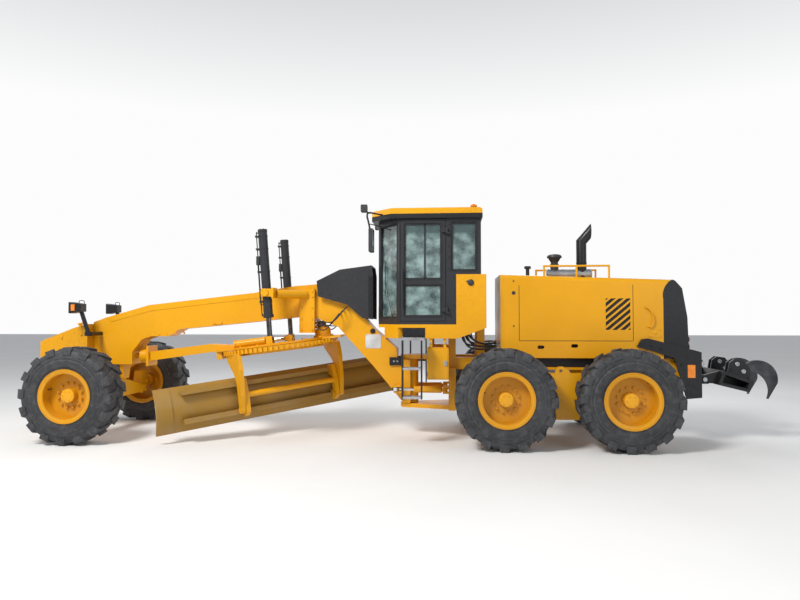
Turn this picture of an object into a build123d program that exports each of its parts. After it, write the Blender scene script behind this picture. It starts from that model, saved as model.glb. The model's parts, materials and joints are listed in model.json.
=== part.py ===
from build123d import *

# Motor grader: articulated rear and front frames, leaning and steered front wheels,
# tandem rear wheels, drawbar, toothed circle, side-shift blade and rear ripper.
#
# Frame: +X forward, +Y to the machine's left, +Z up, millimetres.
# The origin lies on the ground under the middle of the whole machine.
# Stations along X are measured from the tandem pivots or from the frame hinge.

import os
from math import cos, hypot, radians, sin

os.makedirs("parts", exist_ok=True)

# ---------------------------------------------------------------- driving sizes
TANDEM_X = -2282.0  # rear axle and tandem pivots
WHEELBASE = 6560.0
TANDEM_SPACING = 1550.0
HALF_TRACK = 1077.0
HINGE_AHEAD = 2050.0  # of the tandem pivots
HINGE_X = TANDEM_X + HINGE_AHEAD
FRONT_AXLE_X = TANDEM_X + WHEELBASE
REACH = FRONT_AXLE_X - HINGE_X

TYRE_R = 650.0  # out to the tips of the lugs
TYRE_WIDTH = 445.0
LUG_HEIGHT = 28.0
LUG_COUNT = 16  # on each side of the tread
LUG_HALF_WIDTH = 46.0
LUG_STATIONS = (
    # y from the tyre's middle, foot radius, top radius, distance behind the lug's leading end
    (8.0, TYRE_R - LUG_HEIGHT - 20.0, TYRE_R, 0.0),
    (TYRE_WIDTH / 2 - 33.0, TYRE_R - LUG_HEIGHT - 20.0, TYRE_R - 4.0, 90.0),
)
CASING_SIDES = 24  # flats round a tyre
RIM_SEAT_R = 318.0
RIM_FLANGE_R = 360.0
RIM_WALL = 18.0
HUB_R = 105.0
SPINDLE_R = 60.0
AXLE_Z = TYRE_R

FIT = 0.05  # radial clearance of a pin or a shaft in its bore
SEAT = 0.3  # clearance of faces that slide or nearly touch
RUN = 6.0  # clearance of pieces that move past each other

NECK_HALF = 165.0  # half the width of the front frame's box beam
HITCH_PIN_R = 50.0
HITCH_LOW_Z = 400.0
HITCH_TOP_Z = 1160.0
HITCH_PLATE = 60.0
HITCH_NOSE_R = 150.0
BARREL_R = 110.0
HITCH_GAP = 8.0

RAIL_IN = 330.0
RAIL_OUT = 430.0
RAIL_LOW_Z = 975.0
RAIL_TOP_Z = 1140.0

HOOD_HALF = 500.0
HOOD_FRONT = 785.0
HOOD_REAR = -1400.0

CAB_HALF = 720.0
CAB_FRONT = 2500.0
CAB_FRONT_HALF = 250.0
CAB_CORNER = 2168.0  # where the angled front side windows meet the doors
CAB_REAR = 1060.0
CAB_FLOOR_Z = 1600.0
SILL_LOW_Z = 1409.0
SILL_TOP_Z = CAB_FLOOR_Z - 45.0
POST_TOP_Z = 1450.0
CAB_TOP_Z = 3075.0
CAB_WALL = 60.0
DOOR_REAR = 1534.0
DOOR_FRONT = 2160.0
DOOR_LOW_Z = 1640.0
DOOR_TOP_Z = 3040.0
GLASS = 8.0

BALL_X = WHEELBASE - 450.0  # from the tandem pivots
BALL_Z = 1120.0
BALL_R = 70.0

CIRCLE_X = 3978.0  # from the tandem pivots
CIRCLE_Z = 1265.0
CIRCLE_SLOPE = 7.2  # degrees, rear edge high
CIRCLE_R = 844.0  # out to the tips of the teeth
CIRCLE_ROOT_R = 815.0
CIRCLE_BORE_R = 700.0
CIRCLE_HALF = 30.0
CIRCLE_TEETH = 72

BLADE_ANGLE = 39.0  # from the machine's length, seen from above
BLADE_LENGTH = 3962.0
BLADE_HEIGHT = 610.0
BLADE_SHIFT = -85.0  # along the blade, from the middle of the circle
BLADE_EDGE_W = -964.0  # cutting edge, below the middle of the circle
BLADE_EDGE_V = 76.0
BLADE_SAG = 100.0
BLADE_PLATE = 20.0
ARM_U = 785.0
ARM_HALF = 32.0
TILT_V = -190.0
TILT_W = -800.0
TILT_PIN_R = 25.0

LIFT_X = 4040.0
LIFT_Y = 600.0
LIFT_Z = 2040.0
LIFT_EYE_X = 3990.0
LIFT_EYE_Z = 1400.0
LIFT_BARREL_R = 64.0
LIFT_ROD_R = 36.0

RIPPER_HALF = 450.0

ARTICULATION_HINGE = (-490.0, 300.0)  # x from the frame hinge, y
ARTICULATION_EYE = (200.0, 255.0)
ARTICULATION_Z = 675.0
ARTICULATION_PIN_R = 18.0

# ---------------------------------------------------------------- small helpers


def slab(x, y, z, mode=Mode.ADD):
    """Box that fills three (low, high) ranges."""
    middle = ((x[0] + x[1]) / 2, (y[0] + y[1]) / 2, (z[0] + z[1]) / 2)
    with Locations(middle):
        Box(x[1] - x[0], y[1] - y[0], z[1] - z[0], mode=mode)


def side_plate(points, y, origin_x=0.0, mode=Mode.ADD):
    """Side outline of (x, z) points, filled between two heights of y."""
    plane = Plane(origin=(origin_x, y[1], 0), x_dir=(1, 0, 0), z_dir=(0, -1, 0))
    with BuildSketch(plane) as outline:
        with BuildLine():
            Polyline(*points, close=True)
        make_face()
    extrude(outline.sketch, amount=y[1] - y[0], mode=mode)


def plan_plate(points, z, origin_x=0.0, mode=Mode.ADD):
    """Outline of (x, y) points seen from above, filled between two heights of z."""
    with BuildSketch(Plane(origin=(origin_x, 0, z[0]))) as outline:
        with BuildLine():
            Polyline(*points, close=True)
        make_face()
    extrude(outline.sketch, amount=z[1] - z[0], mode=mode)


def cross_plate(points, x, mode=Mode.ADD):
    """Outline of (y, z) points seen along the machine, filled between two stations of x."""
    with BuildSketch(Plane(origin=(x[0], 0, 0), x_dir=(0, 1, 0), z_dir=(1, 0, 0))) as outline:
        with BuildLine():
            Polyline(*points, close=True)
        make_face()
    extrude(outline.sketch, amount=x[1] - x[0], mode=mode)


def bar(start, end, radius, mode=Mode.ADD):
    """Round bar from one point to another."""
    run = Vector(*end) - Vector(*start)
    with BuildSketch(Plane(origin=start, z_dir=run)) as disc:
        Circle(radius)
    extrude(disc.sketch, amount=run.length, mode=mode)


def both_sides(y):
    """The same (low, high) range of y on the left and on the right."""
    return ((y[0], y[1]), (-y[1], -y[0]))


def write(piece, name):
    """Label a finished piece and write it as its own STEP file."""
    piece.part.label = name
    export_step(piece.part, "parts/" + name + ".step")


SIDES = (("left", 1), ("right", -1))

# ---------------------------------------------------------------- rear frame
HITCH_PLATES = (
    # low z, high z
    (HITCH_LOW_Z, HITCH_LOW_Z + HITCH_PLATE),
    (HITCH_TOP_Z - HITCH_PLATE, HITCH_TOP_Z),
)
CROSS_FRONT = 1500.0
CROSS_REAR = 1400.0
REAR_POST_X = 1000.0
FRAME_REAR = -1650.0

with BuildPart() as rear_frame:
    for y in both_sides((RAIL_IN, RAIL_OUT)):
        slab((TANDEM_X + FRAME_REAR, TANDEM_X + CROSS_FRONT), y, (RAIL_LOW_Z, RAIL_TOP_Z))
        slab((TANDEM_X + CROSS_REAR, TANDEM_X + CROSS_FRONT), y, (RAIL_TOP_Z, POST_TOP_Z))
        slab((TANDEM_X + REAR_POST_X, TANDEM_X + REAR_POST_X + 100.0), y, (RAIL_TOP_Z, SILL_TOP_Z))
    slab(
        (TANDEM_X + CROSS_REAR, TANDEM_X + CROSS_FRONT),
        (-RAIL_OUT, RAIL_OUT),
        (HITCH_LOW_Z, HITCH_TOP_Z),
    )
    slab(
        (TANDEM_X + FRAME_REAR, TANDEM_X + FRAME_REAR + 90.0),
        (-RAIL_OUT, RAIL_OUT),
        (640.0, RAIL_TOP_Z),
    )
    for low, high in HITCH_PLATES:
        with BuildSketch(Plane.XY.offset(low)):
            with Locations((HINGE_X, 0)):
                Circle(HITCH_NOSE_R)
            with BuildLine():
                Polyline(
                    (TANDEM_X + CROSS_FRONT - 5.0, -RAIL_IN),
                    (HINGE_X, -HITCH_NOSE_R),
                    (HINGE_X, HITCH_NOSE_R),
                    (TANDEM_X + CROSS_FRONT - 5.0, RAIL_IN),
                    close=True,
                )
            make_face()
        extrude(amount=high - low)
    bar((HINGE_X, 0, HITCH_LOW_Z), (HINGE_X, 0, HITCH_TOP_Z), HITCH_PIN_R)
    # Lugs and pins for the barrels of the cylinders that turn the front frame.
    for _, side in SIDES:
        x = HINGE_X + ARTICULATION_HINGE[0]
        y = side * ARTICULATION_HINGE[1]
        for low, high in ((-56.0, -28.0), (28.0, 56.0)):
            z_range = (ARTICULATION_Z + low, ARTICULATION_Z + high)
            slab((TANDEM_X + CROSS_FRONT - 5.0, x + 22.0), (y - 40.0, y + 40.0), z_range)
        bar((x, y, ARTICULATION_Z - 56.0), (x, y, ARTICULATION_Z + 56.0), ARTICULATION_PIN_R)
write(rear_frame, "rear_frame")

# Heavy mass behind the cab, closed in by the hood.
with BuildPart() as engine_block:
    slab((TANDEM_X - 1150.0, TANDEM_X + 150.0), (-RAIL_IN, RAIL_IN), (RAIL_LOW_Z, 1900.0))
write(engine_block, "engine_block")

# ---------------------------------------------------------------- rear axle and tandems
TANDEM_OUT = HALF_TRACK - TYRE_WIDTH / 2 - 34.5
TANDEM_IN = TANDEM_OUT - 220.0
TANDEM_END_R = 235.0
TANDEM_HALF_HEIGHT = 300.0
EAR_WALL = 40.0
EAR_OUTLINE = ((-110.0, 290.0), (-75.0, 345.0), (-5.0, 395.0), (60.0, 395.0), (95.0, 345.0), (105.0, 290.0))
EAR_EYE = (27.0, 341.0)  # ahead of and above the pivot
EAR_EYE_R = 22.0
PIVOT_R = 120.0

with BuildPart() as rear_axle:
    bar(
        (TANDEM_X, -TANDEM_IN - 80.0, AXLE_Z),
        (TANDEM_X, TANDEM_IN + 80.0, AXLE_Z),
        PIVOT_R,
    )
    with BuildSketch(Plane(origin=(TANDEM_X, 0, AXLE_Z), z_dir=(0, 1, 0))):
        Circle(260.0)
    extrude(amount=190.0, both=True)
    for y in both_sides((RAIL_IN, RAIL_OUT)):
        slab((TANDEM_X - 170.0, TANDEM_X + 170.0), y, (AXLE_Z, RAIL_LOW_Z))
write(rear_axle, "rear_axle")

for side_name, side in SIDES:
    inner_y = side * TANDEM_IN
    outer_y = side * TANDEM_OUT
    y_range = (min(inner_y, outer_y), max(inner_y, outer_y))
    with BuildPart() as tandem:
        plane = Plane(origin=(TANDEM_X, y_range[1], AXLE_Z), x_dir=(1, 0, 0), z_dir=(0, -1, 0))
        half = TANDEM_SPACING / 2
        with BuildSketch(plane):
            with Locations((-half, 0), (half, 0)):
                Circle(TANDEM_END_R)
            with BuildLine():
                Polyline(
                    (-half, -TANDEM_END_R),
                    (-300.0, -TANDEM_HALF_HEIGHT),
                    (300.0, -TANDEM_HALF_HEIGHT),
                    (half, -TANDEM_END_R),
                    (half, TANDEM_END_R),
                    (300.0, TANDEM_HALF_HEIGHT),
                    (-300.0, TANDEM_HALF_HEIGHT),
                    (-half, TANDEM_END_R),
                    close=True,
                )
            make_face()
        extrude(amount=y_range[1] - y_range[0])
        # Lifting ear on the outer wall, between the wheels.
        ear_y = sorted((outer_y, outer_y - side * EAR_WALL))
        ear = [(x, AXLE_Z + z) for x, z in EAR_OUTLINE]
        side_plate(ear, ear_y, TANDEM_X)
        eye = (TANDEM_X + EAR_EYE[0], AXLE_Z + EAR_EYE[1])
        bar((eye[0], ear_y[0] - 1.0, eye[1]), (eye[0], ear_y[1] + 1.0, eye[1]), EAR_EYE_R, Mode.SUBTRACT)
        # Bearing for the rear axle's end.
        socket_end = (TANDEM_X, inner_y + side * 90.0, AXLE_Z)
        bar((TANDEM_X, inner_y, AXLE_Z), socket_end, PIVOT_R + FIT, Mode.SUBTRACT)
        for step in (-half, half):
            x = TANDEM_X + step
            bar((x, outer_y, AXLE_Z), (x, side * (HALF_TRACK + 30.0), AXLE_Z), SPINDLE_R)
    write(tandem, "tandem_case_" + side_name)

# ---------------------------------------------------------------- wheels
RIM_DISC_IN = 20.0  # disc, outboard of the tyre's middle
RIM_DISC_OUT = 45.0
HUB_OUT = 120.0
HUB_IN = -40.0


def build_rim(x, side):
    """Dished disc rim with its hub, bored for the spindle."""
    half_rim = TYRE_WIDTH / 2 - 10.0
    # (radius, distance outboard of the tyre's middle)
    section = (
        (SPINDLE_R + FIT, HUB_IN),
        (HUB_R, HUB_IN),
        (HUB_R, RIM_DISC_IN),
        (RIM_SEAT_R - RIM_WALL, RIM_DISC_IN),
        (RIM_SEAT_R - RIM_WALL, -half_rim + 15.0),
        (RIM_FLANGE_R - 15.0, -half_rim),
        (RIM_FLANGE_R, -half_rim),
        (RIM_FLANGE_R, -half_rim + 12.0),
        (RIM_SEAT_R, -half_rim + 12.0),
        (RIM_SEAT_R, half_rim - 12.0),
        (RIM_FLANGE_R, half_rim - 12.0),
        (RIM_FLANGE_R, half_rim),
        (RIM_FLANGE_R - 15.0, half_rim),
        (RIM_SEAT_R - RIM_WALL, half_rim - 15.0),
        (RIM_SEAT_R - RIM_WALL, RIM_DISC_OUT),
        (HUB_R, RIM_DISC_OUT),
        (HUB_R - 10.0, HUB_OUT),
        (0.0, HUB_OUT),
        (0.0, HUB_OUT - 60.0),
        (SPINDLE_R + FIT, HUB_OUT - 60.0),
    )
    with BuildPart() as rim:
        with BuildSketch(Plane(origin=(x, side * HALF_TRACK, AXLE_Z))):
            with BuildLine():
                Polyline(*[(radius, side * out) for radius, out in section], close=True)
            make_face()
        revolve(axis=Axis((x, 0, AXLE_Z), (0, 1, 0)))
    return rim


def tyre_point(radius, y, turn):
    """Point on a tyre at a radius, a distance along its axle and a turn about it."""
    return (radius * sin(turn), y, radius * cos(turn))


def casing_solid(section):
    """Flat-sided ring whose (radius, y) section is carried round the axle."""
    turns = [radians(360.0 / CASING_SIDES * index) for index in range(CASING_SIDES)]
    rings = [[tyre_point(radius, y, turn) for radius, y in section] for turn in turns]
    faces = []
    for near, far in zip(rings, rings[1:] + rings[:1]):
        for index in range(len(section)):
            after = (index + 1) % len(section)
            corners = (near[index], near[after], far[after], far[index])
            faces.append(Face(Wire.make_polygon(corners, close=True)))
    return Solid(Shell(faces))


def lug_solid(stations):
    """Lug skinned in flat triangles over stations of four corners each."""
    faces = []
    for near, far in zip(stations, stations[1:]):
        for index in range(4):
            after = (index + 1) % 4
            for corners in ((near[index], near[after], far[after]), (near[index], far[after], far[index])):
                faces.append(Face(Wire.make_polygon(corners, close=True)))
    for end in (stations[0], stations[-1]):
        faces.append(Face(Wire.make_polygon(end, close=True)))
    return Solid(Shell(faces))


def build_tyre():
    """Tyre with slanted traction lugs, centred on its own axle and flat-sided to keep it light."""
    half = TYRE_WIDTH / 2
    flat_share = cos(radians(180.0 / CASING_SIDES))
    bore_r = RIM_SEAT_R / flat_share
    bead_r = RIM_FLANGE_R / flat_share
    base_r = TYRE_R - LUG_HEIGHT
    # (radius, y) from the bead over the wall to the tread
    wall = ((bore_r, half - 22.0), (bead_r, half - 22.0), (500.0, half), (base_r, half - 30.0))
    section = wall + tuple((radius, -y) for radius, y in reversed(wall))
    with BuildPart() as tyre:
        add(casing_solid(section))
        # Lugs over each half of the tread, their inner ends leading.
        for side, start in ((1, 0.25), (-1, 0.75)):
            for lug in range(LUG_COUNT):
                stations = []
                for y, foot_r, top_r, trail in LUG_STATIONS:
                    turn = radians(360.0 / LUG_COUNT * (lug + start)) - trail / TYRE_R
                    half_turn = LUG_HALF_WIDTH / TYRE_R
                    stations.append([
                        tyre_point(foot_r, side * y, turn - half_turn),
                        tyre_point(top_r, side * y, turn - half_turn),
                        tyre_point(top_r, side * y, turn + half_turn),
                        tyre_point(foot_r, side * y, turn + half_turn),
                    ])
                add(lug_solid(stations))
    return tyre


master_tyre = build_tyre()
WHEELS = (
    # name, x, side
    ("front_left", FRONT_AXLE_X, 1),
    ("front_right", FRONT_AXLE_X, -1),
    ("middle_left", TANDEM_X + TANDEM_SPACING / 2, 1),
    ("middle_right", TANDEM_X + TANDEM_SPACING / 2, -1),
    ("rear_left", TANDEM_X - TANDEM_SPACING / 2, 1),
    ("rear_right", TANDEM_X - TANDEM_SPACING / 2, -1),
)
for wheel_name, wheel_x, wheel_side in WHEELS:
    write(build_rim(wheel_x, wheel_side), "rim_" + wheel_name)
    placed_tyre = Pos(wheel_x, wheel_side * HALF_TRACK, AXLE_Z) * master_tyre.part
    placed_tyre.label = "tyre_" + wheel_name
    export_step(placed_tyre, "parts/tyre_" + wheel_name + ".step")

# ---------------------------------------------------------------- front frame
BARREL_LOW_Z = HITCH_LOW_Z + HITCH_PLATE + HITCH_GAP
BARREL_TOP_Z = HITCH_TOP_Z - HITCH_PLATE - HITCH_GAP
NOSE_END = REACH + 250.0
NOSE_LOW_Z = 1000.0
ARCH_START = REACH - 1081.0  # where the underside drops to the arch over the ball
ARCH_END = REACH - 353.0
BEAM_START = 1701.0
BEAM_RUN = 1728.0  # drawn length of the straight middle, from there to the arch


def on_beam(x):
    """Station on the straight middle of the beam, which stretches with the wheelbase."""
    return BEAM_START + (x - BEAM_START) * (ARCH_START - BEAM_START) / BEAM_RUN


# (x from the hinge, z), along the top from the nose back to the hinge, then forward below
NECK_OUTLINE = (
    (NOSE_END, 1627.0),
    (REACH + 57.0, 1697.0),
    (REACH - 607.0, 1883.0),
    (on_beam(3125.0), 1970.0),
    (on_beam(2301.0), 2061.0),
    (BEAM_START, 2157.0),
    (1372.0, 2182.0),
    (950.0, 2010.0),
    (530.0, 1539.0),
    (195.0, 1245.0),
    (195.0, BARREL_TOP_Z),
    (0.0, BARREL_TOP_Z),
    (0.0, BARREL_LOW_Z),
    (100.0, BARREL_LOW_Z),
    (527.0, 984.0),
    (1050.0, 1557.0),
    (1390.0, 1700.0),
    (1619.0, 1708.0),
    (on_beam(2385.0), 1625.0),
    (on_beam(3108.0), 1555.0),
    (ARCH_START, 1526.0),
    (REACH - 908.0, 1418.0),
    (REACH - 642.0, 1418.0),
    (REACH - 496.0, 1368.0),
    (ARCH_END, 1183.0),
    (ARCH_END, NOSE_LOW_Z),
    (NOSE_END, NOSE_LOW_Z),
)
AXLE_PIVOT_Z = 860.0
AXLE_PIN_R = 40.0
AXLE_BRACKETS = ((-190.0, -140.0), (140.0, 190.0))  # from the front axle

with BuildPart() as front_frame:
    side_plate(NECK_OUTLINE, (-NECK_HALF, NECK_HALF), HINGE_X)
    bar((HINGE_X, 0, BARREL_LOW_Z), (HINGE_X, 0, BARREL_TOP_Z), BARREL_R)
    # Room for the rear half of the beam behind the barrel.
    beside = (HINGE_X - NECK_HALF - 50.0, HINGE_X)
    slab(beside, (-NECK_HALF, -BARREL_R), (BARREL_LOW_Z, BARREL_TOP_Z), Mode.SUBTRACT)
    bar((HINGE_X, 0, BARREL_LOW_Z), (HINGE_X, 0, BARREL_TOP_Z), HITCH_PIN_R + FIT, Mode.SUBTRACT)
    # Stud and ball for the drawbar.
    ball_x = TANDEM_X + BALL_X
    bar((ball_x, 0, BALL_Z), (HINGE_X + ARCH_END + 3.0, 0, BALL_Z), 40.0)
    with Locations((ball_x, 0, BALL_Z)):
        Sphere(BALL_R)
    # Brackets and pin for the swinging front axle.
    for low, high in AXLE_BRACKETS:
        x_range = (FRONT_AXLE_X + low, FRONT_AXLE_X + high)
        cross_plate(((-130.0, NOSE_LOW_Z), (-70.0, 780.0), (70.0, 780.0), (130.0, NOSE_LOW_Z)), x_range)
    bar(
        (FRONT_AXLE_X - 190.0, 0, AXLE_PIVOT_Z),
        (FRONT_AXLE_X + 190.0, 0, AXLE_PIVOT_Z),
        AXLE_PIN_R,
    )
    # Lugs and pins for the rods of the cylinders that turn this frame.
    for _, side in SIDES:
        x = HINGE_X + ARTICULATION_EYE[0]
        y = side * ARTICULATION_EYE[1]
        for low, high in ((-56.0, -30.0), (30.0, 56.0)):
            z_range = (ARTICULATION_Z + low, ARTICULATION_Z + high)
            y_range = sorted((side * (NECK_HALF - 5.0), y + side * 30.0))
            slab((x - 80.0, x + 30.0), y_range, z_range)
        bar((x, y, ARTICULATION_Z - 56.0), (x, y, ARTICULATION_Z + 56.0), ARTICULATION_PIN_R)
write(front_frame, "front_frame")

BLOCK_HALF = 330.0
BLOCK_FRONT = NOSE_END + 720.0
BLOCK_LOW_Z = NOSE_LOW_Z + 60.0
BOLT_R = 13.0
BOLT_Y = 210.0
BOLT_ROWS = (BLOCK_LOW_Z + 90.0, BLOCK_LOW_Z + 240.0)
BOLT_DEPTH = 60.0
with BuildPart() as front_block:
    outline = (
        (NOSE_END, BLOCK_LOW_Z + 540.0),
        (NOSE_END + 216.0, BLOCK_LOW_Z + 481.0),
        (BLOCK_FRONT, BLOCK_LOW_Z + 282.0),
        (BLOCK_FRONT, BLOCK_LOW_Z + 55.0),
        (NOSE_END + 540.0, BLOCK_LOW_Z),
        (NOSE_END, BLOCK_LOW_Z),
    )
    side_plate(outline, (-BLOCK_HALF, BLOCK_HALF), HINGE_X)
    # Bolt holes for a blade or a push plate.
    for y in (-BOLT_Y, BOLT_Y):
        for z in BOLT_ROWS:
            mouth = (HINGE_X + BLOCK_FRONT, y, z)
            bar((HINGE_X + BLOCK_FRONT - BOLT_DEPTH, y, z), mouth, BOLT_R, Mode.SUBTRACT)
write(front_block, "front_block")

LAMP_Y = 500.0
LAMP_ARM = (NOSE_END - 120.0, 1460.0)  # x from the frame hinge, z
LAMP_NECK = (NOSE_END, 1800.0)
LAMP_FACE_X = NOSE_END + 125.0
LAMP_WIDTH = 190.0
LAMP_HEIGHT = 165.0
LAMP_DEPTH = 165.0
LAMP_SINK = 45.0  # how far the stalk reaches into the lamp
with BuildPart() as head_lamps:
    for _, side in SIDES:
        y = side * LAMP_Y
        arm_x = HINGE_X + LAMP_ARM[0]
        # Outrigger arm from the beam, round foot, stalk and lamp box.
        bar((arm_x, side * NECK_HALF, LAMP_ARM[1]), (arm_x, y, LAMP_ARM[1]), 28.0)
        bar((arm_x, y, LAMP_ARM[1] - 30.0), (arm_x, y, LAMP_ARM[1] + 30.0), 55.0)
        bar((arm_x, y, LAMP_ARM[1]), (HINGE_X + LAMP_NECK[0], y, LAMP_NECK[1]), 30.0)
        box_middle = (HINGE_X + LAMP_FACE_X, y, LAMP_NECK[1] + LAMP_HEIGHT / 2 - LAMP_SINK)
        with BuildSketch(Plane(origin=box_middle, x_dir=(0, 1, 0), z_dir=(-1, 0, 0))) as lamp_face:
            RectangleRounded(LAMP_WIDTH, LAMP_HEIGHT, 18.0)
        extrude(lamp_face.sketch, amount=LAMP_DEPTH, taper=9.0)
write(head_lamps, "head_lamps")

# Collar round the beam with the two arms that carry the lift cylinders.
SADDLE_REAR = 1390.0
SADDLE_FRONT = 1612.0
SADDLE_WALL = 70.0
YOKE_WALL = 25.0
YOKE_HALF = 105.0
TRUNNION_R = 25.0
with BuildPart() as lift_saddle:
    x_range = (HINGE_X + SADDLE_REAR, HINGE_X + SADDLE_FRONT)
    for y in both_sides((NECK_HALF, NECK_HALF + SADDLE_WALL)):
        slab(x_range, y, (1473.0, 2110.0))
    under = ((SADDLE_REAR, 1473.0), (SADDLE_FRONT, 1473.0), (SADDLE_FRONT, 1707.0), (SADDLE_REAR, 1699.0))
    side_plate(under, (-NECK_HALF, NECK_HALF), HINGE_X)
    for _, side in SIDES:
        lift_x = TANDEM_X + LIFT_X
        back = lift_x - 120.0
        y_in = side * (LIFT_Y - YOKE_HALF)
        y_out = side * (LIFT_Y + YOKE_HALF)
        arm_root = (HINGE_X + SADDLE_FRONT - 90.0, side * 225.0, 2028.0)
        bar(arm_root, (back + 5.0, side * (LIFT_Y - 60.0), 2028.0), 62.0)
        slab((back, back + 30.0), sorted((y_in, y_out)), (1970.0, 2110.0))
        for y in (y_in, y_out - side * YOKE_WALL):
            slab((back, lift_x + 55.0), sorted((y, y + side * YOKE_WALL)), (1985.0, 2095.0))
        bar((lift_x, y_in, LIFT_Z), (lift_x, y_out, LIFT_Z), TRUNNION_R + FIT, Mode.SUBTRACT)
write(lift_saddle, "lift_saddle")

# Faceted cover of the hose run in front of the cab.
COVER_HALF = 260.0
COVER_WALL = 12.0
COVER_TOP_HALF = 150.0
with BuildPart() as hose_cover:
    outer = (
        (1355.0, 2224.0),
        (1018.0, 2389.0),
        (554.0, 2449.0),
        (534.0, 2309.0),
        (534.0, 1668.0),
        (682.0, 1687.0),
        (906.0, 1880.0),
        (1335.0, 2002.0),
    )
    side_plate(outer, (-COVER_HALF, COVER_HALF), HINGE_X)
    inner = (
        (1343.0, 2205.0),
        (1014.0, 2376.0),
        (500.0, 2437.0),
        (500.0, 1600.0),
        (690.0, 1600.0),
        (920.0, 1820.0),
        (1343.0, 1950.0),
    )
    side_plate(inner, (-COVER_HALF + COVER_WALL, COVER_HALF - COVER_WALL), HINGE_X, Mode.SUBTRACT)
    side_plate(NECK_OUTLINE, (-NECK_HALF, NECK_HALF), HINGE_X, Mode.SUBTRACT)
write(hose_cover, "hose_cover")

# ---------------------------------------------------------------- front axle
LEAN_Y = 730.0
LEAN_Z = 560.0
LEAN_PIN_R = 30.0
KING_Y = 880.0
KING_PIN_R = 28.0
with BuildPart() as front_axle:
    beam = (
        (-LEAN_Y + 60.0, 500.0),
        (-LEAN_Y + 60.0, 620.0),
        (-200.0, 740.0),
        (200.0, 740.0),
        (LEAN_Y - 60.0, 620.0),
        (LEAN_Y - 60.0, 500.0),
    )
    cross_plate(beam, (FRONT_AXLE_X - 110.0, FRONT_AXLE_X + 110.0))
    cross_plate(
        ((-90.0, 700.0), (-70.0, 900.0), (70.0, 900.0), (90.0, 700.0)),
        (FRONT_AXLE_X - 130.0, FRONT_AXLE_X + 130.0),
    )
    bar(
        (FRONT_AXLE_X - 130.0, 0, AXLE_PIVOT_Z),
        (FRONT_AXLE_X + 130.0, 0, AXLE_PIVOT_Z),
        AXLE_PIN_R + FIT,
        Mode.SUBTRACT,
    )
    for _, side in SIDES:
        # Fork for the leaning bracket, with its pin along the machine.
        for x in ((-110.0, -70.0), (70.0, 110.0)):
            y_range = sorted((side * (LEAN_Y - 65.0), side * (LEAN_Y + 45.0)))
            slab((FRONT_AXLE_X + x[0], FRONT_AXLE_X + x[1]), y_range, (LEAN_Z - 50.0, LEAN_Z + 50.0))
        bar(
            (FRONT_AXLE_X - 110.0, side * LEAN_Y, LEAN_Z),
            (FRONT_AXLE_X + 110.0, side * LEAN_Y, LEAN_Z),
            LEAN_PIN_R,
        )
write(front_axle, "front_axle")

for side_name, side in SIDES:
    with BuildPart() as lean_bracket:
        # Upright plate from the lean pin out to the king pin's fork.
        outline = (
            (side * (LEAN_Y - 40.0), LEAN_Z - 45.0),
            (side * (KING_Y + 50.0), 470.0),
            (side * (KING_Y + 50.0), 520.0),
            (side * (LEAN_Y + 70.0), 530.0),
            (side * (LEAN_Y + 70.0), 770.0),
            (side * (KING_Y + 50.0), 780.0),
            (side * (KING_Y + 50.0), 830.0),
            (side * (LEAN_Y + 10.0), 830.0),
            (side * (LEAN_Y - 40.0), LEAN_Z + 45.0),
        )
        cross_plate(outline, (FRONT_AXLE_X - 64.0, FRONT_AXLE_X + 64.0))
        bar(
            (FRONT_AXLE_X - 70.0, side * LEAN_Y, LEAN_Z),
            (FRONT_AXLE_X + 70.0, side * LEAN_Y, LEAN_Z),
            LEAN_PIN_R + FIT,
            Mode.SUBTRACT,
        )
        bar((FRONT_AXLE_X, side * KING_Y, 460.0), (FRONT_AXLE_X, side * KING_Y, 840.0), KING_PIN_R)
    write(lean_bracket, "lean_bracket_" + side_name)
    with BuildPart() as knuckle:
        y_range = sorted((side * (KING_Y - 48.0), side * (KING_Y + 48.0)))
        slab((FRONT_AXLE_X - 48.0, FRONT_AXLE_X + 48.0), y_range, (AXLE_Z - 112.0, AXLE_Z + 112.0))
        bar(
            (FRONT_AXLE_X, side * (KING_Y + 40.0), AXLE_Z),
            (FRONT_AXLE_X, side * (HALF_TRACK + 30.0), AXLE_Z),
            SPINDLE_R,
        )
        low = (FRONT_AXLE_X, side * KING_Y, 460.0)
        high = (FRONT_AXLE_X, side * KING_Y, 840.0)
        bar(low, high, KING_PIN_R + FIT, Mode.SUBTRACT)
    write(knuckle, "steering_knuckle_" + side_name)

# ---------------------------------------------------------------- tilted frames of the circle and blade
SLOPE = radians(CIRCLE_SLOPE)
RING = Plane(
    origin=(TANDEM_X + CIRCLE_X, 0, CIRCLE_Z),
    x_dir=(cos(SLOPE), 0, -sin(SLOPE)),
    z_dir=(sin(SLOPE), 0, cos(SLOPE)),
)
# Forward out of the blade's hollow face, left along the blade, and up.
BLADE_TURN = radians(BLADE_ANGLE - 90.0)
BLADE = Plane(
    origin=RING.origin,
    x_dir=RING.x_dir * cos(BLADE_TURN) + RING.y_dir * sin(BLADE_TURN),
    z_dir=RING.z_dir,
)


def frame_plate(frame, points, across, mode=Mode.ADD):
    """Side outline of (forward, up) points in a tilted frame, filled between two heights across it."""
    plane = Plane(
        origin=frame.from_local_coords((0, across[1], 0)),
        x_dir=frame.x_dir,
        z_dir=frame.y_dir * -1,
    )
    with BuildSketch(plane) as outline:
        with BuildLine():
            Polyline(*points, close=True)
        make_face()
    extrude(outline.sketch, amount=across[1] - across[0], mode=mode)


def frame_slab(frame, x, y, z, mode=Mode.ADD):
    """Box that fills three (low, high) ranges of a tilted frame."""
    frame_plate(frame, ((x[0], z[0]), (x[1], z[0]), (x[1], z[1]), (x[0], z[1])), y, mode)


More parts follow.
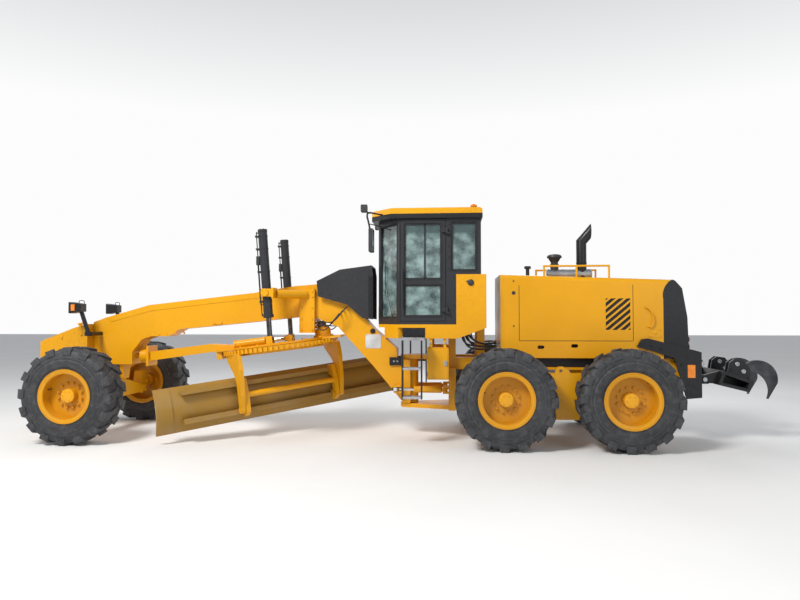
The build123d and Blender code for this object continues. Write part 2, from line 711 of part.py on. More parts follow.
def frame_bar(frame, start, end, radius, mode=Mode.ADD):
    """Round bar between two points of a tilted frame."""
    bar(tuple(frame.from_local_coords(start)), tuple(frame.from_local_coords(end)), radius, mode)


# ---------------------------------------------------------------- drawbar
DECK_LOW = CIRCLE_HALF + RUN
DECK_TOP = DECK_LOW + 30.0
HANGER_R = CIRCLE_BORE_R - 10.0
LIP_R = CIRCLE_BORE_R + 40.0
LIFT_EYE_R = 55.0
LIFT_EYE_HALF = 28.0
LIFT_PIN_R = 25.0
LIFT_EYE_PLAY = 11.0
SOCKET_BACK = 146.0

with BuildPart() as drawbar:
    # Socket round the ball, flange and straight beam.
    flange_x = TANDEM_X + BALL_X - SOCKET_BACK
    with BuildSketch(Plane(origin=(flange_x, 0, BALL_Z), z_dir=(1, 0, 0))):
        Circle(112.0)
    extrude(amount=160.0)
    slab((flange_x, flange_x + 36.0), (-150.0, 150.0), (BALL_Z - 146.0, BALL_Z + 153.0))
    beam = (
        (BALL_X - SOCKET_BACK + 6.0, BALL_Z - 71.0),
        (BALL_X - SOCKET_BACK + 6.0, BALL_Z + 64.0),
        (5040.0, 1302.0),
        (4640.0, 1280.0),
        (4640.0, 1215.0),
        (5040.0, 1180.0),
    )
    side_plate(beam, (-105.0, 105.0), TANDEM_X)
    with Locations((TANDEM_X + BALL_X, 0, BALL_Z)):
        Sphere(BALL_R + SEAT, mode=Mode.SUBTRACT)
    # Deck over the circle.
    with BuildSketch(RING.offset(DECK_LOW)) as deck:
        Circle(CIRCLE_BORE_R + 20.0)
        with Locations((-700.0, 0)):
            Rectangle(480.0, 520.0)
        with Locations((10.0, 0)):
            Rectangle(220.0, 2 * LIFT_Y + 180.0)
        with BuildLine():
            Polyline((540.0, -420.0), (960.0, -150.0), (960.0, 150.0), (540.0, 420.0), close=True)
        make_face()
    extrude(deck.sketch, amount=DECK_TOP - DECK_LOW)
    # Hanger through the circle's bore and the four lips that carry the ring.
    with BuildSketch(RING.offset(-60.0)) as hanger:
        Circle(HANGER_R)
        Circle(HANGER_R - 50.0, mode=Mode.SUBTRACT)
    extrude(hanger.sketch, amount=60.0 + DECK_LOW)
    with BuildSketch(RING.offset(-60.0)) as lips:
        with PolarLocations((HANGER_R + LIP_R) / 2 - 5.0, 4, 45.0):
            Rectangle(LIP_R - HANGER_R + 8.0, 160.0)
    extrude(lips.sketch, amount=60.0 - CIRCLE_HALF - SEAT)
    # Forks and pins for the lift cylinders.
    for _, side in SIDES:
        eye = (TANDEM_X + LIFT_EYE_X, side * LIFT_Y, LIFT_EYE_Z)
        eye_x, eye_y, eye_z = RING.to_local_coords(Vector(*eye))
        for near, far in both_sides((LIFT_EYE_HALF + 12.0, LIFT_EYE_HALF + 36.0)):
            across = (eye_y + near, eye_y + far)
            frame_slab(RING, (eye_x - 45.0, eye_x + 45.0), across, (DECK_TOP, eye_z + 35.0))
        bar((eye[0], eye[1] - 62.0, eye[2]), (eye[0], eye[1] + 62.0, eye[2]), LIFT_PIN_R)
    # Side-shift cylinder lying on the deck.
    frame_bar(RING, (620.0, 250.0, DECK_TOP + 50.0), (170.0, 250.0, DECK_TOP + 50.0), 56.0)
write(drawbar, "drawbar")

# ---------------------------------------------------------------- circle with its arms
with BuildPart() as circle:
    with BuildSketch(RING.offset(-CIRCLE_HALF)) as ring_sketch:
        Circle(CIRCLE_ROOT_R)
        with PolarLocations((CIRCLE_ROOT_R + CIRCLE_R) / 2 - 5.0, CIRCLE_TEETH):
            Rectangle(CIRCLE_R - CIRCLE_ROOT_R + 10.0, 34.0)
        Circle(CIRCLE_BORE_R, mode=Mode.SUBTRACT)
    extrude(ring_sketch.sketch, amount=2 * CIRCLE_HALF)
    arm = (
        (120.0, -CIRCLE_HALF + 12.0),
        (100.0, -110.0),
        (-90.0, -280.0),
        (-165.0, -400.0),
        (-165.0, -740.0),
        (TILT_V + 48.0, TILT_W),
        (TILT_V, TILT_W - 45.0),
        (TILT_V - 48.0, TILT_W),
        (-290.0, -600.0),
        (-330.0, -250.0),
        (-300.0, -CIRCLE_HALF + 12.0),
    )
    for side in (1, -1):
        across = sorted((side * (ARM_U - ARM_HALF), side * (ARM_U + ARM_HALF)))
        frame_plate(BLADE, arm, across)
        frame_bar(BLADE, (TILT_V, across[0], TILT_W), (TILT_V, across[1], TILT_W), 50.0)
        frame_bar(
            BLADE,
            (TILT_V, side * (ARM_U - ARM_HALF - 80.0), TILT_W),
            (TILT_V, side * (ARM_U - ARM_HALF + 5.0), TILT_W),
            TILT_PIN_R,
        )
write(circle, "blade_circle")

# ---------------------------------------------------------------- blade and its carrier
BLADE_TOP_W = BLADE_EDGE_W + BLADE_HEIGHT
BLADE_MID_W = (BLADE_EDGE_W + 30.0 + BLADE_TOP_W) / 2
BLADE_BACK_V = BLADE_EDGE_V - 16.0 - BLADE_SAG
RAIL_LENGTH = 3300.0
# rail head, web: low and high v, then low and high w
RAILS = (
    ((-120.0, -80.0), (-470.0, -410.0), (-452.0, -428.0), -14.0),
    ((-130.0, -90.0), (-860.0, -790.0), (-837.0, -813.0), -22.0),
)
EDGE_PLATE = ((62.0, -968.0), (-20.0, -812.0), (6.0, -796.0), (94.0, -957.0))


def mouldboard(plane, thickness):
    """Curved blade section on a plane across the blade, hollow face forward."""
    low = (BLADE_EDGE_V - 16.0, BLADE_EDGE_W + 30.0)
    middle = (BLADE_BACK_V, BLADE_MID_W)
    top = (BLADE_EDGE_V - 20.0, BLADE_TOP_W)
    with BuildSketch(plane) as section:
        with BuildLine():
            ThreePointArc(low, middle, top)
            Line(top, (top[0] - thickness, top[1]))
            ThreePointArc(
                (top[0] - thickness, top[1]),
                (middle[0] - thickness, middle[1]),
                (low[0] - thickness, low[1]),
            )
            Line((low[0] - thickness, low[1]), low)
        make_face()
    return section.sketch


def blade_plane(u):
    """Plane across the blade at a distance along it, for sections swept toward its right end."""
    return Plane(origin=BLADE.from_local_coords((0, u, 0)), x_dir=BLADE.x_dir, z_dir=BLADE.y_dir * -1)


with BuildPart() as blade:
    left_end = BLADE_SHIFT + BLADE_LENGTH / 2
    right_end = BLADE_SHIFT - BLADE_LENGTH / 2
    END_PLATE = 210.0
    for start, length, thickness in (
        (left_end, BLADE_LENGTH, BLADE_PLATE),
        (left_end, END_PLATE, BLADE_PLATE + 14.0),
        (right_end + END_PLATE, END_PLATE, BLADE_PLATE + 14.0),
    ):
        extrude(mouldboard(blade_plane(start), thickness), amount=length)
    frame_plate(BLADE, EDGE_PLATE, (right_end, left_end))
    rail_across = (BLADE_SHIFT - RAIL_LENGTH / 2, BLADE_SHIFT + RAIL_LENGTH / 2)
    for head, head_w, web_w, board_v in RAILS:
        frame_slab(BLADE, head, rail_across, head_w)
        frame_slab(BLADE, (head[1] - 1.0, board_v), rail_across, web_w)
write(blade, "blade")

CHEEK_OUT = ARM_U - ARM_HALF - 8.0
CHEEK_IN = CHEEK_OUT - 65.0
with BuildPart() as blade_carrier:
    cheek = (
        (-200.0, -370.0),
        (-62.0, -370.0),
        (-62.0, -510.0),
        (-140.0, -530.0),
        (-160.0, -740.0),
        (-70.0, -755.0),
        (-70.0, -895.0),
        (-165.0, -895.0),
        (-245.0, -840.0),
        (-250.0, -600.0),
    )
    for across in both_sides((CHEEK_IN, CHEEK_OUT)):
        frame_plate(BLADE, cheek, across)
        wider = (across[0] - 1.0, across[1] + 1.0)
        for head, head_w, web_w, board_v in RAILS:
            frame_slab(
                BLADE,
                (head[0] - SEAT, head[1] + SEAT),
                wider,
                (head_w[0] - SEAT, head_w[1] + SEAT),
                Mode.SUBTRACT,
            )
            web_slot = (web_w[0] - SEAT, web_w[1] + SEAT)
            frame_slab(BLADE, (head[1] - 1.0, -40.0), wider, web_slot, Mode.SUBTRACT)
        pin_start = (TILT_V, wider[0], TILT_W)
        pin_end = (TILT_V, wider[1], TILT_W)
        frame_bar(BLADE, pin_start, pin_end, TILT_PIN_R + FIT, Mode.SUBTRACT)
    frame_bar(BLADE, (-205.0, -CHEEK_IN - 5.0, -600.0), (-205.0, CHEEK_IN + 5.0, -600.0), 40.0)
write(blade_carrier, "blade_carrier")

# ---------------------------------------------------------------- cylinders
# Distances are along the cylinder from its hinge toward the rod's eye.


def build_barrel(hinge, eye, outer_r, rod_r, back, gland):
    """Hollow barrel along the line from its hinge to the rod's eye, closed round the rod."""
    run = (Vector(*eye) - Vector(*hinge)).normalized()
    start = Vector(*hinge) + run * back
    end = Vector(*hinge) + run * gland
    cap = 40.0
    with BuildPart() as barrel:
        bar(tuple(start), tuple(end), outer_r)
        bar(tuple(start + run * cap), tuple(end - run * 50.0), outer_r - 14.0, Mode.SUBTRACT)
        bar(tuple(start + run * cap), tuple(end + run), rod_r + FIT, Mode.SUBTRACT)
    return barrel


def build_rod(hinge, eye, rod_r, length, eye_r, bore_r, eye_axis, eye_half):
    """Rod that ends in an eye with play round its pin."""
    run = (Vector(*eye) - Vector(*hinge)).normalized()
    eye_point = Vector(*eye)
    across = Vector(*eye_axis) * eye_half
    with BuildPart() as rod:
        bar(tuple(eye_point - run * length), tuple(eye_point - run * (bore_r + 4.0)), rod_r)
        bar(tuple(eye_point - across), tuple(eye_point + across), eye_r)
        bar(tuple(eye_point - across), tuple(eye_point + across), bore_r, Mode.SUBTRACT)
    return rod


for side_name, side in SIDES:
    hinge = (TANDEM_X + LIFT_X, side * LIFT_Y, LIFT_Z)
    eye = (TANDEM_X + LIFT_EYE_X, side * LIFT_Y, LIFT_EYE_Z)
    barrel = build_barrel(hinge, eye, LIFT_BARREL_R, LIFT_ROD_R, -890.0, 350.0)
    with barrel:
        for reach in (-1, 1):
            bar(
                (hinge[0], hinge[1] + reach * (LIFT_BARREL_R - 8.0), LIFT_Z),
                (hinge[0], hinge[1] + reach * YOKE_HALF, LIFT_Z),
                TRUNNION_R,
            )
    write(barrel, "lift_barrel_" + side_name)
    play_r = LIFT_PIN_R + LIFT_EYE_PLAY
    rod = build_rod(hinge, eye, LIFT_ROD_R, 860.0, LIFT_EYE_R, play_r, (0, 1, 0), LIFT_EYE_HALF)
    write(rod, "lift_rod_" + side_name)

# Steering cylinders of the frame hinge, one on each side.
ARTICULATION_PLAY = 26.0
for side_name, side in SIDES:
    hinge = (HINGE_X + ARTICULATION_HINGE[0], side * ARTICULATION_HINGE[1], ARTICULATION_Z)
    eye = (HINGE_X + ARTICULATION_EYE[0], side * ARTICULATION_EYE[1], ARTICULATION_Z)
    barrel = build_barrel(hinge, eye, 46.0, 24.0, 40.0, 430.0)
    with barrel:
        bar((hinge[0], hinge[1], hinge[2] - 26.0), (hinge[0], hinge[1], hinge[2] + 26.0), 46.0)
        bar(
            (hinge[0], hinge[1], hinge[2] - 27.0),
            (hinge[0], hinge[1], hinge[2] + 27.0),
            ARTICULATION_PIN_R + FIT,
            Mode.SUBTRACT,
        )
    write(barrel, "articulation_barrel_" + side_name)
    play_r = ARTICULATION_PIN_R + ARTICULATION_PLAY
    rod = build_rod(hinge, eye, 24.0, 475.0, play_r + 12.0, play_r, (0, 0, 1), 24.0)
    write(rod, "articulation_rod_" + side_name)

# ---------------------------------------------------------------- hood and what stands on it
HOOD_WALL = 20.0
HOOD_FRONT_TOP_Z = 2290.0
HOOD_REAR_TOP_Z = 2215.0
HOOD_OUTLINE = (
    (HOOD_FRONT, RAIL_TOP_Z),
    (HOOD_FRONT, HOOD_FRONT_TOP_Z),
    (HOOD_REAR, HOOD_REAR_TOP_Z),
    (HOOD_REAR, RAIL_TOP_Z),
)
# The hood's rear edge runs straight up and then curves back into the top.
TAIL_LENGTH = 120.0
TAIL_TOP_Z = HOOD_REAR_TOP_Z - 6.0
TAIL_LOW_Z = HOOD_REAR_TOP_Z - 270.0

VENT_MIDDLE = (-800.0, 1740.0)
VENT_LENGTH = 330.0
VENT_HEIGHT = 430.0
VENT_TILT = 40.0  # degrees, the strips rise toward the rear
VENT_STEP = 88.0
VENT_STRIP = 24.0

SEAM_DEPTH = 6.0
SEAM_HALF = 4.0
DOOR_SEAM_FRONT = 530.0
DOOR_SEAM_REAR = -1000.0
DOOR_SEAM_Z = 1375.0
EYE_HOLES = ((238.0, 1288.0), (-217.0, 1306.0))
EYE_LENGTH = 95.0
EYE_HEIGHT = 48.0


def behind_hood(mode):
    """Everything behind the hood's curved rear edge, over the machine's whole width."""
    plane = Plane(origin=(TANDEM_X, 2 * HOOD_HALF, 0), x_dir=(1, 0, 0), z_dir=(0, -1, 0))
    far_x = HOOD_REAR - 5 * TAIL_LENGTH
    high_z = HOOD_FRONT_TOP_Z + TAIL_LENGTH
    with BuildSketch(plane) as region:
        with BuildLine():
            ThreePointArc(
                (HOOD_REAR, TAIL_LOW_Z),
                (HOOD_REAR - 0.24 * TAIL_LENGTH, (TAIL_LOW_Z + 2 * TAIL_TOP_Z) / 3),
                (HOOD_REAR - TAIL_LENGTH, TAIL_TOP_Z),
            )
            Polyline(
                (HOOD_REAR - TAIL_LENGTH, TAIL_TOP_Z),
                (HOOD_REAR - TAIL_LENGTH, high_z),
                (far_x, high_z),
                (far_x, RAIL_TOP_Z - 20.0),
                (HOOD_REAR, RAIL_TOP_Z - 20.0),
                (HOOD_REAR, TAIL_LOW_Z),
            )
        make_face()
    extrude(region.sketch, amount=4 * HOOD_HALF, mode=mode)


with BuildPart() as hood:
    tail_end = (HOOD_REAR - TAIL_LENGTH, TAIL_TOP_Z)
    side_plate(
        (HOOD_OUTLINE[0], HOOD_OUTLINE[1], HOOD_OUTLINE[2], tail_end, (tail_end[0], TAIL_LOW_Z),
         (HOOD_REAR, TAIL_LOW_Z), HOOD_OUTLINE[3]),
        (-HOOD_HALF, HOOD_HALF),
        TANDEM_X,
    )
    high_edges = hood.edges().filter_by(lambda edge: edge.center().Z > TAIL_TOP_Z - 10.0)
    top_edges = high_edges.filter_by(lambda edge: abs(abs(edge.center().Y) - HOOD_HALF) < 1)
    fillet(top_edges, 60.0)
    behind_hood(Mode.SUBTRACT)
    hollow = (
        (HOOD_FRONT - HOOD_WALL, RAIL_TOP_Z - 1.0),
        (HOOD_FRONT - HOOD_WALL, HOOD_FRONT_TOP_Z - HOOD_WALL),
        (HOOD_REAR + HOOD_WALL, HOOD_REAR_TOP_Z - HOOD_WALL),
        (HOOD_REAR + HOOD_WALL, RAIL_TOP_Z - 1.0),
    )
    side_plate(hollow, (-HOOD_HALF + HOOD_WALL, HOOD_HALF - HOOD_WALL), TANDEM_X, Mode.SUBTRACT)
    # Ledges that rest on the rails.
    for y in both_sides((RAIL_OUT - 60.0, HOOD_HALF - 5.0)):
        slab((TANDEM_X + HOOD_REAR, TANDEM_X + HOOD_FRONT), y, (RAIL_TOP_Z, RAIL_TOP_Z + 20.0))
    # Slanted air slots and oval grip holes through both sides.
    side_face = Plane(origin=(TANDEM_X, HOOD_HALF + 1.0, 0), x_dir=(1, 0, 0), z_dir=(0, -1, 0))
    with BuildSketch(side_face) as openings:
        with Locations(VENT_MIDDLE):
            Rectangle(VENT_LENGTH, VENT_HEIGHT)
        strip_count = int((VENT_LENGTH + VENT_HEIGHT) / VENT_STEP)
        for number in range(strip_count):
            across = (number - (strip_count - 1) / 2) * VENT_STEP
            with Locations((VENT_MIDDLE[0], VENT_MIDDLE[1] + across)):
                Rectangle(2 * VENT_LENGTH, VENT_STRIP, rotation=-VENT_TILT, mode=Mode.SUBTRACT)
        with Locations(*EYE_HOLES):
            SlotOverall(EYE_LENGTH, EYE_HEIGHT)
    extrude(openings.sketch, amount=2 * HOOD_HALF + 2.0, mode=Mode.SUBTRACT)
    # Grooves round the two long side doors.
    for y in both_sides((HOOD_HALF - SEAM_DEPTH, HOOD_HALF + 1.0)):
        for x in (TANDEM_X + DOOR_SEAM_FRONT, TANDEM_X + DOOR_SEAM_REAR):
            groove_top = HOOD_REAR_TOP_Z - 70.0
            slab((x - SEAM_HALF, x + SEAM_HALF), y, (DOOR_SEAM_Z, groove_top), Mode.SUBTRACT)
        seam_x = (TANDEM_X + DOOR_SEAM_REAR, TANDEM_X + DOOR_SEAM_FRONT)
        slab(seam_x, y, (DOOR_SEAM_Z - SEAM_HALF, DOOR_SEAM_Z + SEAM_HALF), Mode.SUBTRACT)
write(hood, "hood")

with BuildPart() as hood_louvres:
    for y in both_sides((HOOD_HALF - HOOD_WALL - 12.0, HOOD_HALF - HOOD_WALL)):
        vent_x = TANDEM_X + VENT_MIDDLE[0]
        half_length = VENT_LENGTH / 2 + 30.0
        half_height = VENT_HEIGHT / 2 + 30.0
        vent_z = (VENT_MIDDLE[1] - half_height, VENT_MIDDLE[1] + half_height)
        slab((vent_x - half_length, vent_x + half_length), y, vent_z)
write(hood_louvres, "hood_louvres")

HOUSING_OUTLINE = (
    (HOOD_REAR, 1160.0),
    (HOOD_REAR, HOOD_REAR_TOP_Z),
    (HOOD_REAR - TAIL_LENGTH, TAIL_TOP_Z),
    (-1560.0, 2195.0),
    (-1650.0, 2090.0),
    (-1715.0, 1700.0),
    (-1730.0, 1255.0),
    (-1700.0, 1160.0),
)
GRILLE_FINS = 14
with BuildPart() as radiator_housing:
    side_plate(HOUSING_OUTLINE, (-HOOD_HALF, HOOD_HALF), TANDEM_X)
    behind_hood(Mode.INTERSECT)
    hollow = (
        (HOOD_REAR + 1.0, 1159.0),
        (HOOD_REAR + 1.0, TAIL_LOW_Z - 20.0),
        (HOOD_REAR - TAIL_LENGTH, TAIL_TOP_Z - 60.0),
        (-1550.0, 2155.0),
        (-1632.0, 2080.0),
        (-1694.0, 1700.0),
        (-1706.0, 1255.0),
        (-1690.0, 1159.0),
    )
    side_plate(hollow, (-HOOD_HALF + HOOD_WALL, HOOD_HALF - HOOD_WALL), TANDEM_X, Mode.SUBTRACT)
    # Opening of the rear grille with its fins.
    slab((TANDEM_X - 1800.0, TANDEM_X - 1600.0), (-400.0, 400.0), (1240.0, 2000.0), Mode.SUBTRACT)
    fin_step = 760.0 / GRILLE_FINS
    for number in range(GRILLE_FINS):
        z = 1240.0 + (number + 0.5) * fin_step
        x = TANDEM_X - 1700.0 + max(0.0, (z - 1700.0)) * 0.17
        slab((x - 6.0, x + 34.0), (-401.0, 401.0), (z - 5.0, z + 5.0))
    # Ledges on the rails.
    for y in both_sides((RAIL_OUT - 60.0, HOOD_HALF - 5.0)):
        slab((TANDEM_X + FRAME_REAR, TANDEM_X + HOOD_REAR - 20.0), y, (RAIL_TOP_Z, RAIL_TOP_Z + 21.0))
write(radiator_housing, "radiator_housing")

with BuildPart() as engine_stacks:
    bar((TANDEM_X - 420.0, 0, 2230.0), (TANDEM_X - 420.0, 0, 2838.0), 72.0)
    with Locations((TANDEM_X - 420.0, 0, 2838.0)):
        Sphere(72.0)
    bar((TANDEM_X - 420.0, 0, 2838.0), (TANDEM_X - 525.0, 0, 3020.0), 72.0)
    bar((TANDEM_X - 35.0, 0, 2240.0), (TANDEM_X - 35.0, 0, 2440.0), 55.0)
    with BuildSketch(Plane(origin=(TANDEM_X - 35.0, 0, 0), x_dir=(1, 0, 0), z_dir=(0, -1, 0))) as bowl:
        with BuildLine():
            Polyline(
                (0, 2430.0),
                (85.0, 2430.0),
                (106.0, 2460.0),
                (106.0, 2560.0),
                (70.0, 2612.0),
                (0, 2617.0),
                close=True,
            )
        make_face()
    revolve(bowl.sketch, axis=Axis((TANDEM_X - 35.0, 0, 0), (0, 0, 1)))
    bar((TANDEM_X + 350.0, 0, 2250.0), (TANDEM_X + 350.0, 0, 2445.0), 48.0)
    side_plate(HOOD_OUTLINE, (-HOOD_HALF, HOOD_HALF), TANDEM_X, Mode.SUBTRACT)
write(engine_stacks, "engine_stacks")

RAIL_Z = 2410.0
with BuildPart() as hand_rail:
    for y in (-400.0, 400.0):
        for x in (173.0, -270.0, -710.0):
            bar((TANDEM_X + x, y, 2200.0), (TANDEM_X + x, y, RAIL_Z), 14.0)
        bar((TANDEM_X + 187.0, y, RAIL_Z), (TANDEM_X - 724.0, y, RAIL_Z), 14.0)
    side_plate(HOOD_OUTLINE, (-HOOD_HALF, HOOD_HALF), TANDEM_X, Mode.SUBTRACT)
write(hand_rail, "hand_rail")

# ---------------------------------------------------------------- cab
SILL_FRONT = 1815.0
SILL_REAR = 1380.0
BASE_REAR = CAB_REAR - 70.0
CAB_PLAN = (
    (CAB_FRONT, -CAB_FRONT_HALF),
    (CAB_FRONT, CAB_FRONT_HALF),
    (CAB_CORNER, CAB_HALF),
    (CAB_REAR, CAB_HALF),
    (CAB_REAR, -CAB_HALF),
    (CAB_CORNER, -CAB_HALF),
)
PANEL_TOP_Z = 2280.0
PANEL_FRONT = 1395.0
WINDOW_LOW_Z = 1690.0
WINDOW_TOP_Z = 2990.0
REAR_WINDOW_LOW_Z = 2330.0


def inset(plan, wall):
    """The cab's outline moved inward by a wall."""
    return (
        (plan[0][0] - wall, plan[0][1] + wall * 0.55),
        (plan[1][0] - wall, plan[1][1] - wall * 0.55),
        (plan[2][0] - wall * 0.55, plan[2][1] - wall),
        (plan[3][0] + wall, plan[3][1] - wall),
        (plan[4][0] + wall, plan[4][1] + wall),
        (plan[5][0] - wall * 0.55, plan[5][1] + wall),
    )


# The angled front side walls.
CORNER_RUN = hypot(CAB_FRONT - CAB_CORNER, CAB_HALF - CAB_FRONT_HALF)


def window_plane(side):
    """Plane on the outer face of an angled front side wall, x along the wall, y up."""
    middle = (TANDEM_X + (CAB_FRONT + CAB_CORNER) / 2, side * (CAB_HALF + CAB_FRONT_HALF) / 2, 0)
    along = (CAB_CORNER - CAB_FRONT, side * (CAB_HALF - CAB_FRONT_HALF), 0)
    outward = Vector(CAB_HALF - CAB_FRONT_HALF, side * (CAB_FRONT - CAB_CORNER), 0)
    return Plane(origin=middle, x_dir=Vector(*along) * side, z_dir=outward)


WINDOW_MIDDLE_Z = (WINDOW_LOW_Z + WINDOW_TOP_Z) / 2
WINDOW_HEIGHT = WINDOW_TOP_Z - WINDOW_LOW_Z
CORNER_WINDOW = CORNER_RUN - 130.0
FRONT_WINDOW_HALF = CAB_FRONT_HALF - 45.0


def window_panes(depth, inward, mode):
    """All fixed windows as flat prisms: depth thick, starting inward of the wall's outer face."""
    for side in (1, -1):
        wall = window_plane(side)
        up = Plane(origin=wall.origin + Vector(0, 0, WINDOW_MIDDLE_Z), x_dir=wall.x_dir, z_dir=wall.z_dir)
        with BuildSketch(up.offset(-inward)) as corner:
            Rectangle(CORNER_WINDOW, WINDOW_HEIGHT)
        extrude(corner.sketch, amount=-depth, mode=mode)
        y = sorted((side * (CAB_HALF - inward), side * (CAB_HALF - inward - depth)))
        slab((TANDEM_X + CAB_REAR + 60.0, TANDEM_X + 1460.0), y, (REAR_WINDOW_LOW_Z, WINDOW_TOP_Z), mode)
    front_x = TANDEM_X + CAB_FRONT - inward
    front_width = (-FRONT_WINDOW_HALF, FRONT_WINDOW_HALF)
    slab((front_x - depth, front_x), front_width, (WINDOW_LOW_Z, WINDOW_TOP_Z), mode)
    rear_x = TANDEM_X + CAB_REAR + inward
    rear_width = (-CAB_HALF + 110.0, CAB_HALF - 110.0)
    slab((rear_x, rear_x + depth), rear_width, (REAR_WINDOW_LOW_Z, WINDOW_TOP_Z), mode)


with BuildPart() as cab_frame:
    plan_plate(CAB_PLAN, (CAB_FLOOR_Z, CAB_TOP_Z), TANDEM_X)
    plan_plate(inset(CAB_PLAN, CAB_WALL), (CAB_FLOOR_Z - 1.0, CAB_TOP_Z + 1.0), TANDEM_X, Mode.SUBTRACT)
    window_panes(CAB_WALL * 4, -5.0, Mode.SUBTRACT)
    for y in both_sides((CAB_HALF - CAB_WALL - 5.0, CAB_HALF + 5.0)):
        slab((TANDEM_X + DOOR_REAR, TANDEM_X + DOOR_FRONT), y, (DOOR_LOW_Z, DOOR_TOP_Z), Mode.SUBTRACT)
        # The lower rear corners are panels of the base.
        panel_x = (TANDEM_X + CAB_REAR - 5.0, TANDEM_X + PANEL_FRONT)
        slab(panel_x, y, (CAB_FLOOR_Z - 1.0, PANEL_TOP_Z), Mode.SUBTRACT)
    # Pins of the door hinges, on lugs outside the wall behind the door.
    for _, side in SIDES:
        for z in (1800.0, 2880.0):
            x = TANDEM_X + DOOR_REAR - 14.0
            y = side * (CAB_HALF + 22.0)
            lug_y = sorted((side * CAB_HALF, side * (CAB_HALF + 42.0)))
            slab((x - 34.0, x + 18.0), lug_y, (z - 52.0, z - 31.0))
            bar((x, y, z - 52.0), (x, y, z + 34.0), 10.0)
write(cab_frame, "cab_frame")

DOOR_GAP = RUN
DOOR_WALL = 45.0
DOOR_MID_Z = 2176.0  # bar between the upper and the lower window
for side_name, side in SIDES:
    with BuildPart() as door:
        y = sorted((side * CAB_HALF, side * (CAB_HALF - DOOR_WALL)))
        x_range = (TANDEM_X + DOOR_REAR + DOOR_GAP, TANDEM_X + DOOR_FRONT - DOOR_GAP)
        slab(x_range, y, (DOOR_LOW_Z + DOOR_GAP, DOOR_TOP_Z - DOOR_GAP))
        wider = (y[0] - 5.0, y[1] + 5.0)
        glazed = (x_range[0] + 55.0, x_range[1] - 55.0)
        slab(glazed, wider, (DOOR_LOW_Z + 70.0, DOOR_MID_Z - 40.0), Mode.SUBTRACT)
        slab(glazed, wider, (DOOR_MID_Z + 40.0, DOOR_TOP_Z - 65.0), Mode.SUBTRACT)
        for z in (1800.0, 2880.0):
            pin = (TANDEM_X + DOOR_REAR - 14.0, side * (CAB_HALF + 22.0))
            arm_y = sorted((side * (CAB_HALF + 6.0), side * (CAB_HALF + 30.0)))
            foot_y = sorted((side * (CAB_HALF - 10.0), side * (CAB_HALF + 30.0)))
            slab((pin[0], x_range[0] + 50.0), arm_y, (z - 30.0, z + 30.0))
            slab((x_range[0] + 12.0, x_range[0] + 50.0), foot_y, (z - 30.0, z + 30.0))
            bar((pin[0], pin[1], z - 30.0), (pin[0], pin[1], z + 30.0), 19.0)
            bar((pin[0], pin[1], z - 31.0), (pin[0], pin[1], z + 31.0), 10.0 + FIT, Mode.SUBTRACT)
        # Grab handle.
        handle_x = x_range[1] - 28.0
        handle_y = side * (CAB_HALF + 45.0)
        bar((handle_x, handle_y, 1850.0), (handle_x, handle_y, 2350.0), 12.0)
        for z in (1870.0, 2330.0):
            bar((handle_x, side * (CAB_HALF - 5.0), z), (handle_x, handle_y, z), 9.0)
    write(door, "cab_door_" + side_name)

with BuildPart() as cab_glass:
    window_panes(GLASS, 26.0, Mode.ADD)
write(cab_glass, "cab_glass")

ROOF_TOP_Z = CAB_TOP_Z + 115.0
with BuildPart() as cab_roof:
    roof_plan = (
        (CAB_FRONT + 70.0, -CAB_FRONT_HALF - 230.0),
        (CAB_FRONT + 70.0, CAB_FRONT_HALF + 230.0),
        (CAB_CORNER + 120.0, CAB_HALF + 40.0),
        (CAB_REAR - 20.0, CAB_HALF + 40.0),
        (CAB_REAR - 20.0, -CAB_HALF - 40.0),
        (CAB_CORNER + 120.0, -CAB_HALF - 40.0),
    )
    plan_plate(roof_plan, (CAB_TOP_Z, ROOF_TOP_Z), TANDEM_X)
    rim_edges = cab_roof.edges().filter_by(lambda edge: edge.center().Z > ROOF_TOP_Z - 1.0)
    chamfer(rim_edges, 30.0)
write(cab_roof, "cab_roof")

with BuildPart() as cab_base:
    floor_plan = (
        (CAB_FRONT, -CAB_FRONT_HALF),
        (CAB_FRONT, CAB_FRONT_HALF),
        (CAB_CORNER, CAB_HALF),
        (BASE_REAR, CAB_HALF),
        (BASE_REAR, -CAB_HALF),
        (CAB_CORNER, -CAB_HALF),
    )
    plan_plate(floor_plan, (SILL_TOP_Z, CAB_FLOOR_Z), TANDEM_X)
    for _, side in SIDES:
        y = sorted((side * (CAB_HALF - 80.0), side * CAB_HALF))
        side_sill = (
            (SILL_FRONT, SILL_LOW_Z),
            (SILL_FRONT, SILL_TOP_Z + 5.0),
            (BASE_REAR, SILL_TOP_Z + 5.0),
            (BASE_REAR, SILL_TOP_Z),
            (SILL_REAR, SILL_LOW_Z),
        )
        side_plate(side_sill, y, TANDEM_X)
        front_sill = (
            (2190.0, side * (CAB_HALF - 30.0)),
            (2400.0, side * 405.0),
            (2350.0, side * 375.0),
            (2130.0, side * (CAB_HALF - 60.0)),
        )
        plan_plate(front_sill, (SILL_LOW_Z, SILL_TOP_Z + 5.0), TANDEM_X)
        # Rear corner panels beside the cab's back wall.
        y = sorted((side * (CAB_HALF - CAB_WALL), side * CAB_HALF))
        panel = (
            (BASE_REAR, CAB_FLOOR_Z - 5.0),
            (BASE_REAR, PANEL_TOP_Z),
            (PANEL_FRONT, PANEL_TOP_Z),
            (PANEL_FRONT, CAB_FLOOR_Z - 5.0),
        )
        side_plate(panel, y, TANDEM_X)
    # Feet on the frame's posts.
    for y in both_sides((RAIL_IN, RAIL_OUT)):
        slab((TANDEM_X + CROSS_REAR, TANDEM_X + CROSS_FRONT), y, (POST_TOP_Z, SILL_TOP_Z + 5.0))
write(cab_base, "cab_base")

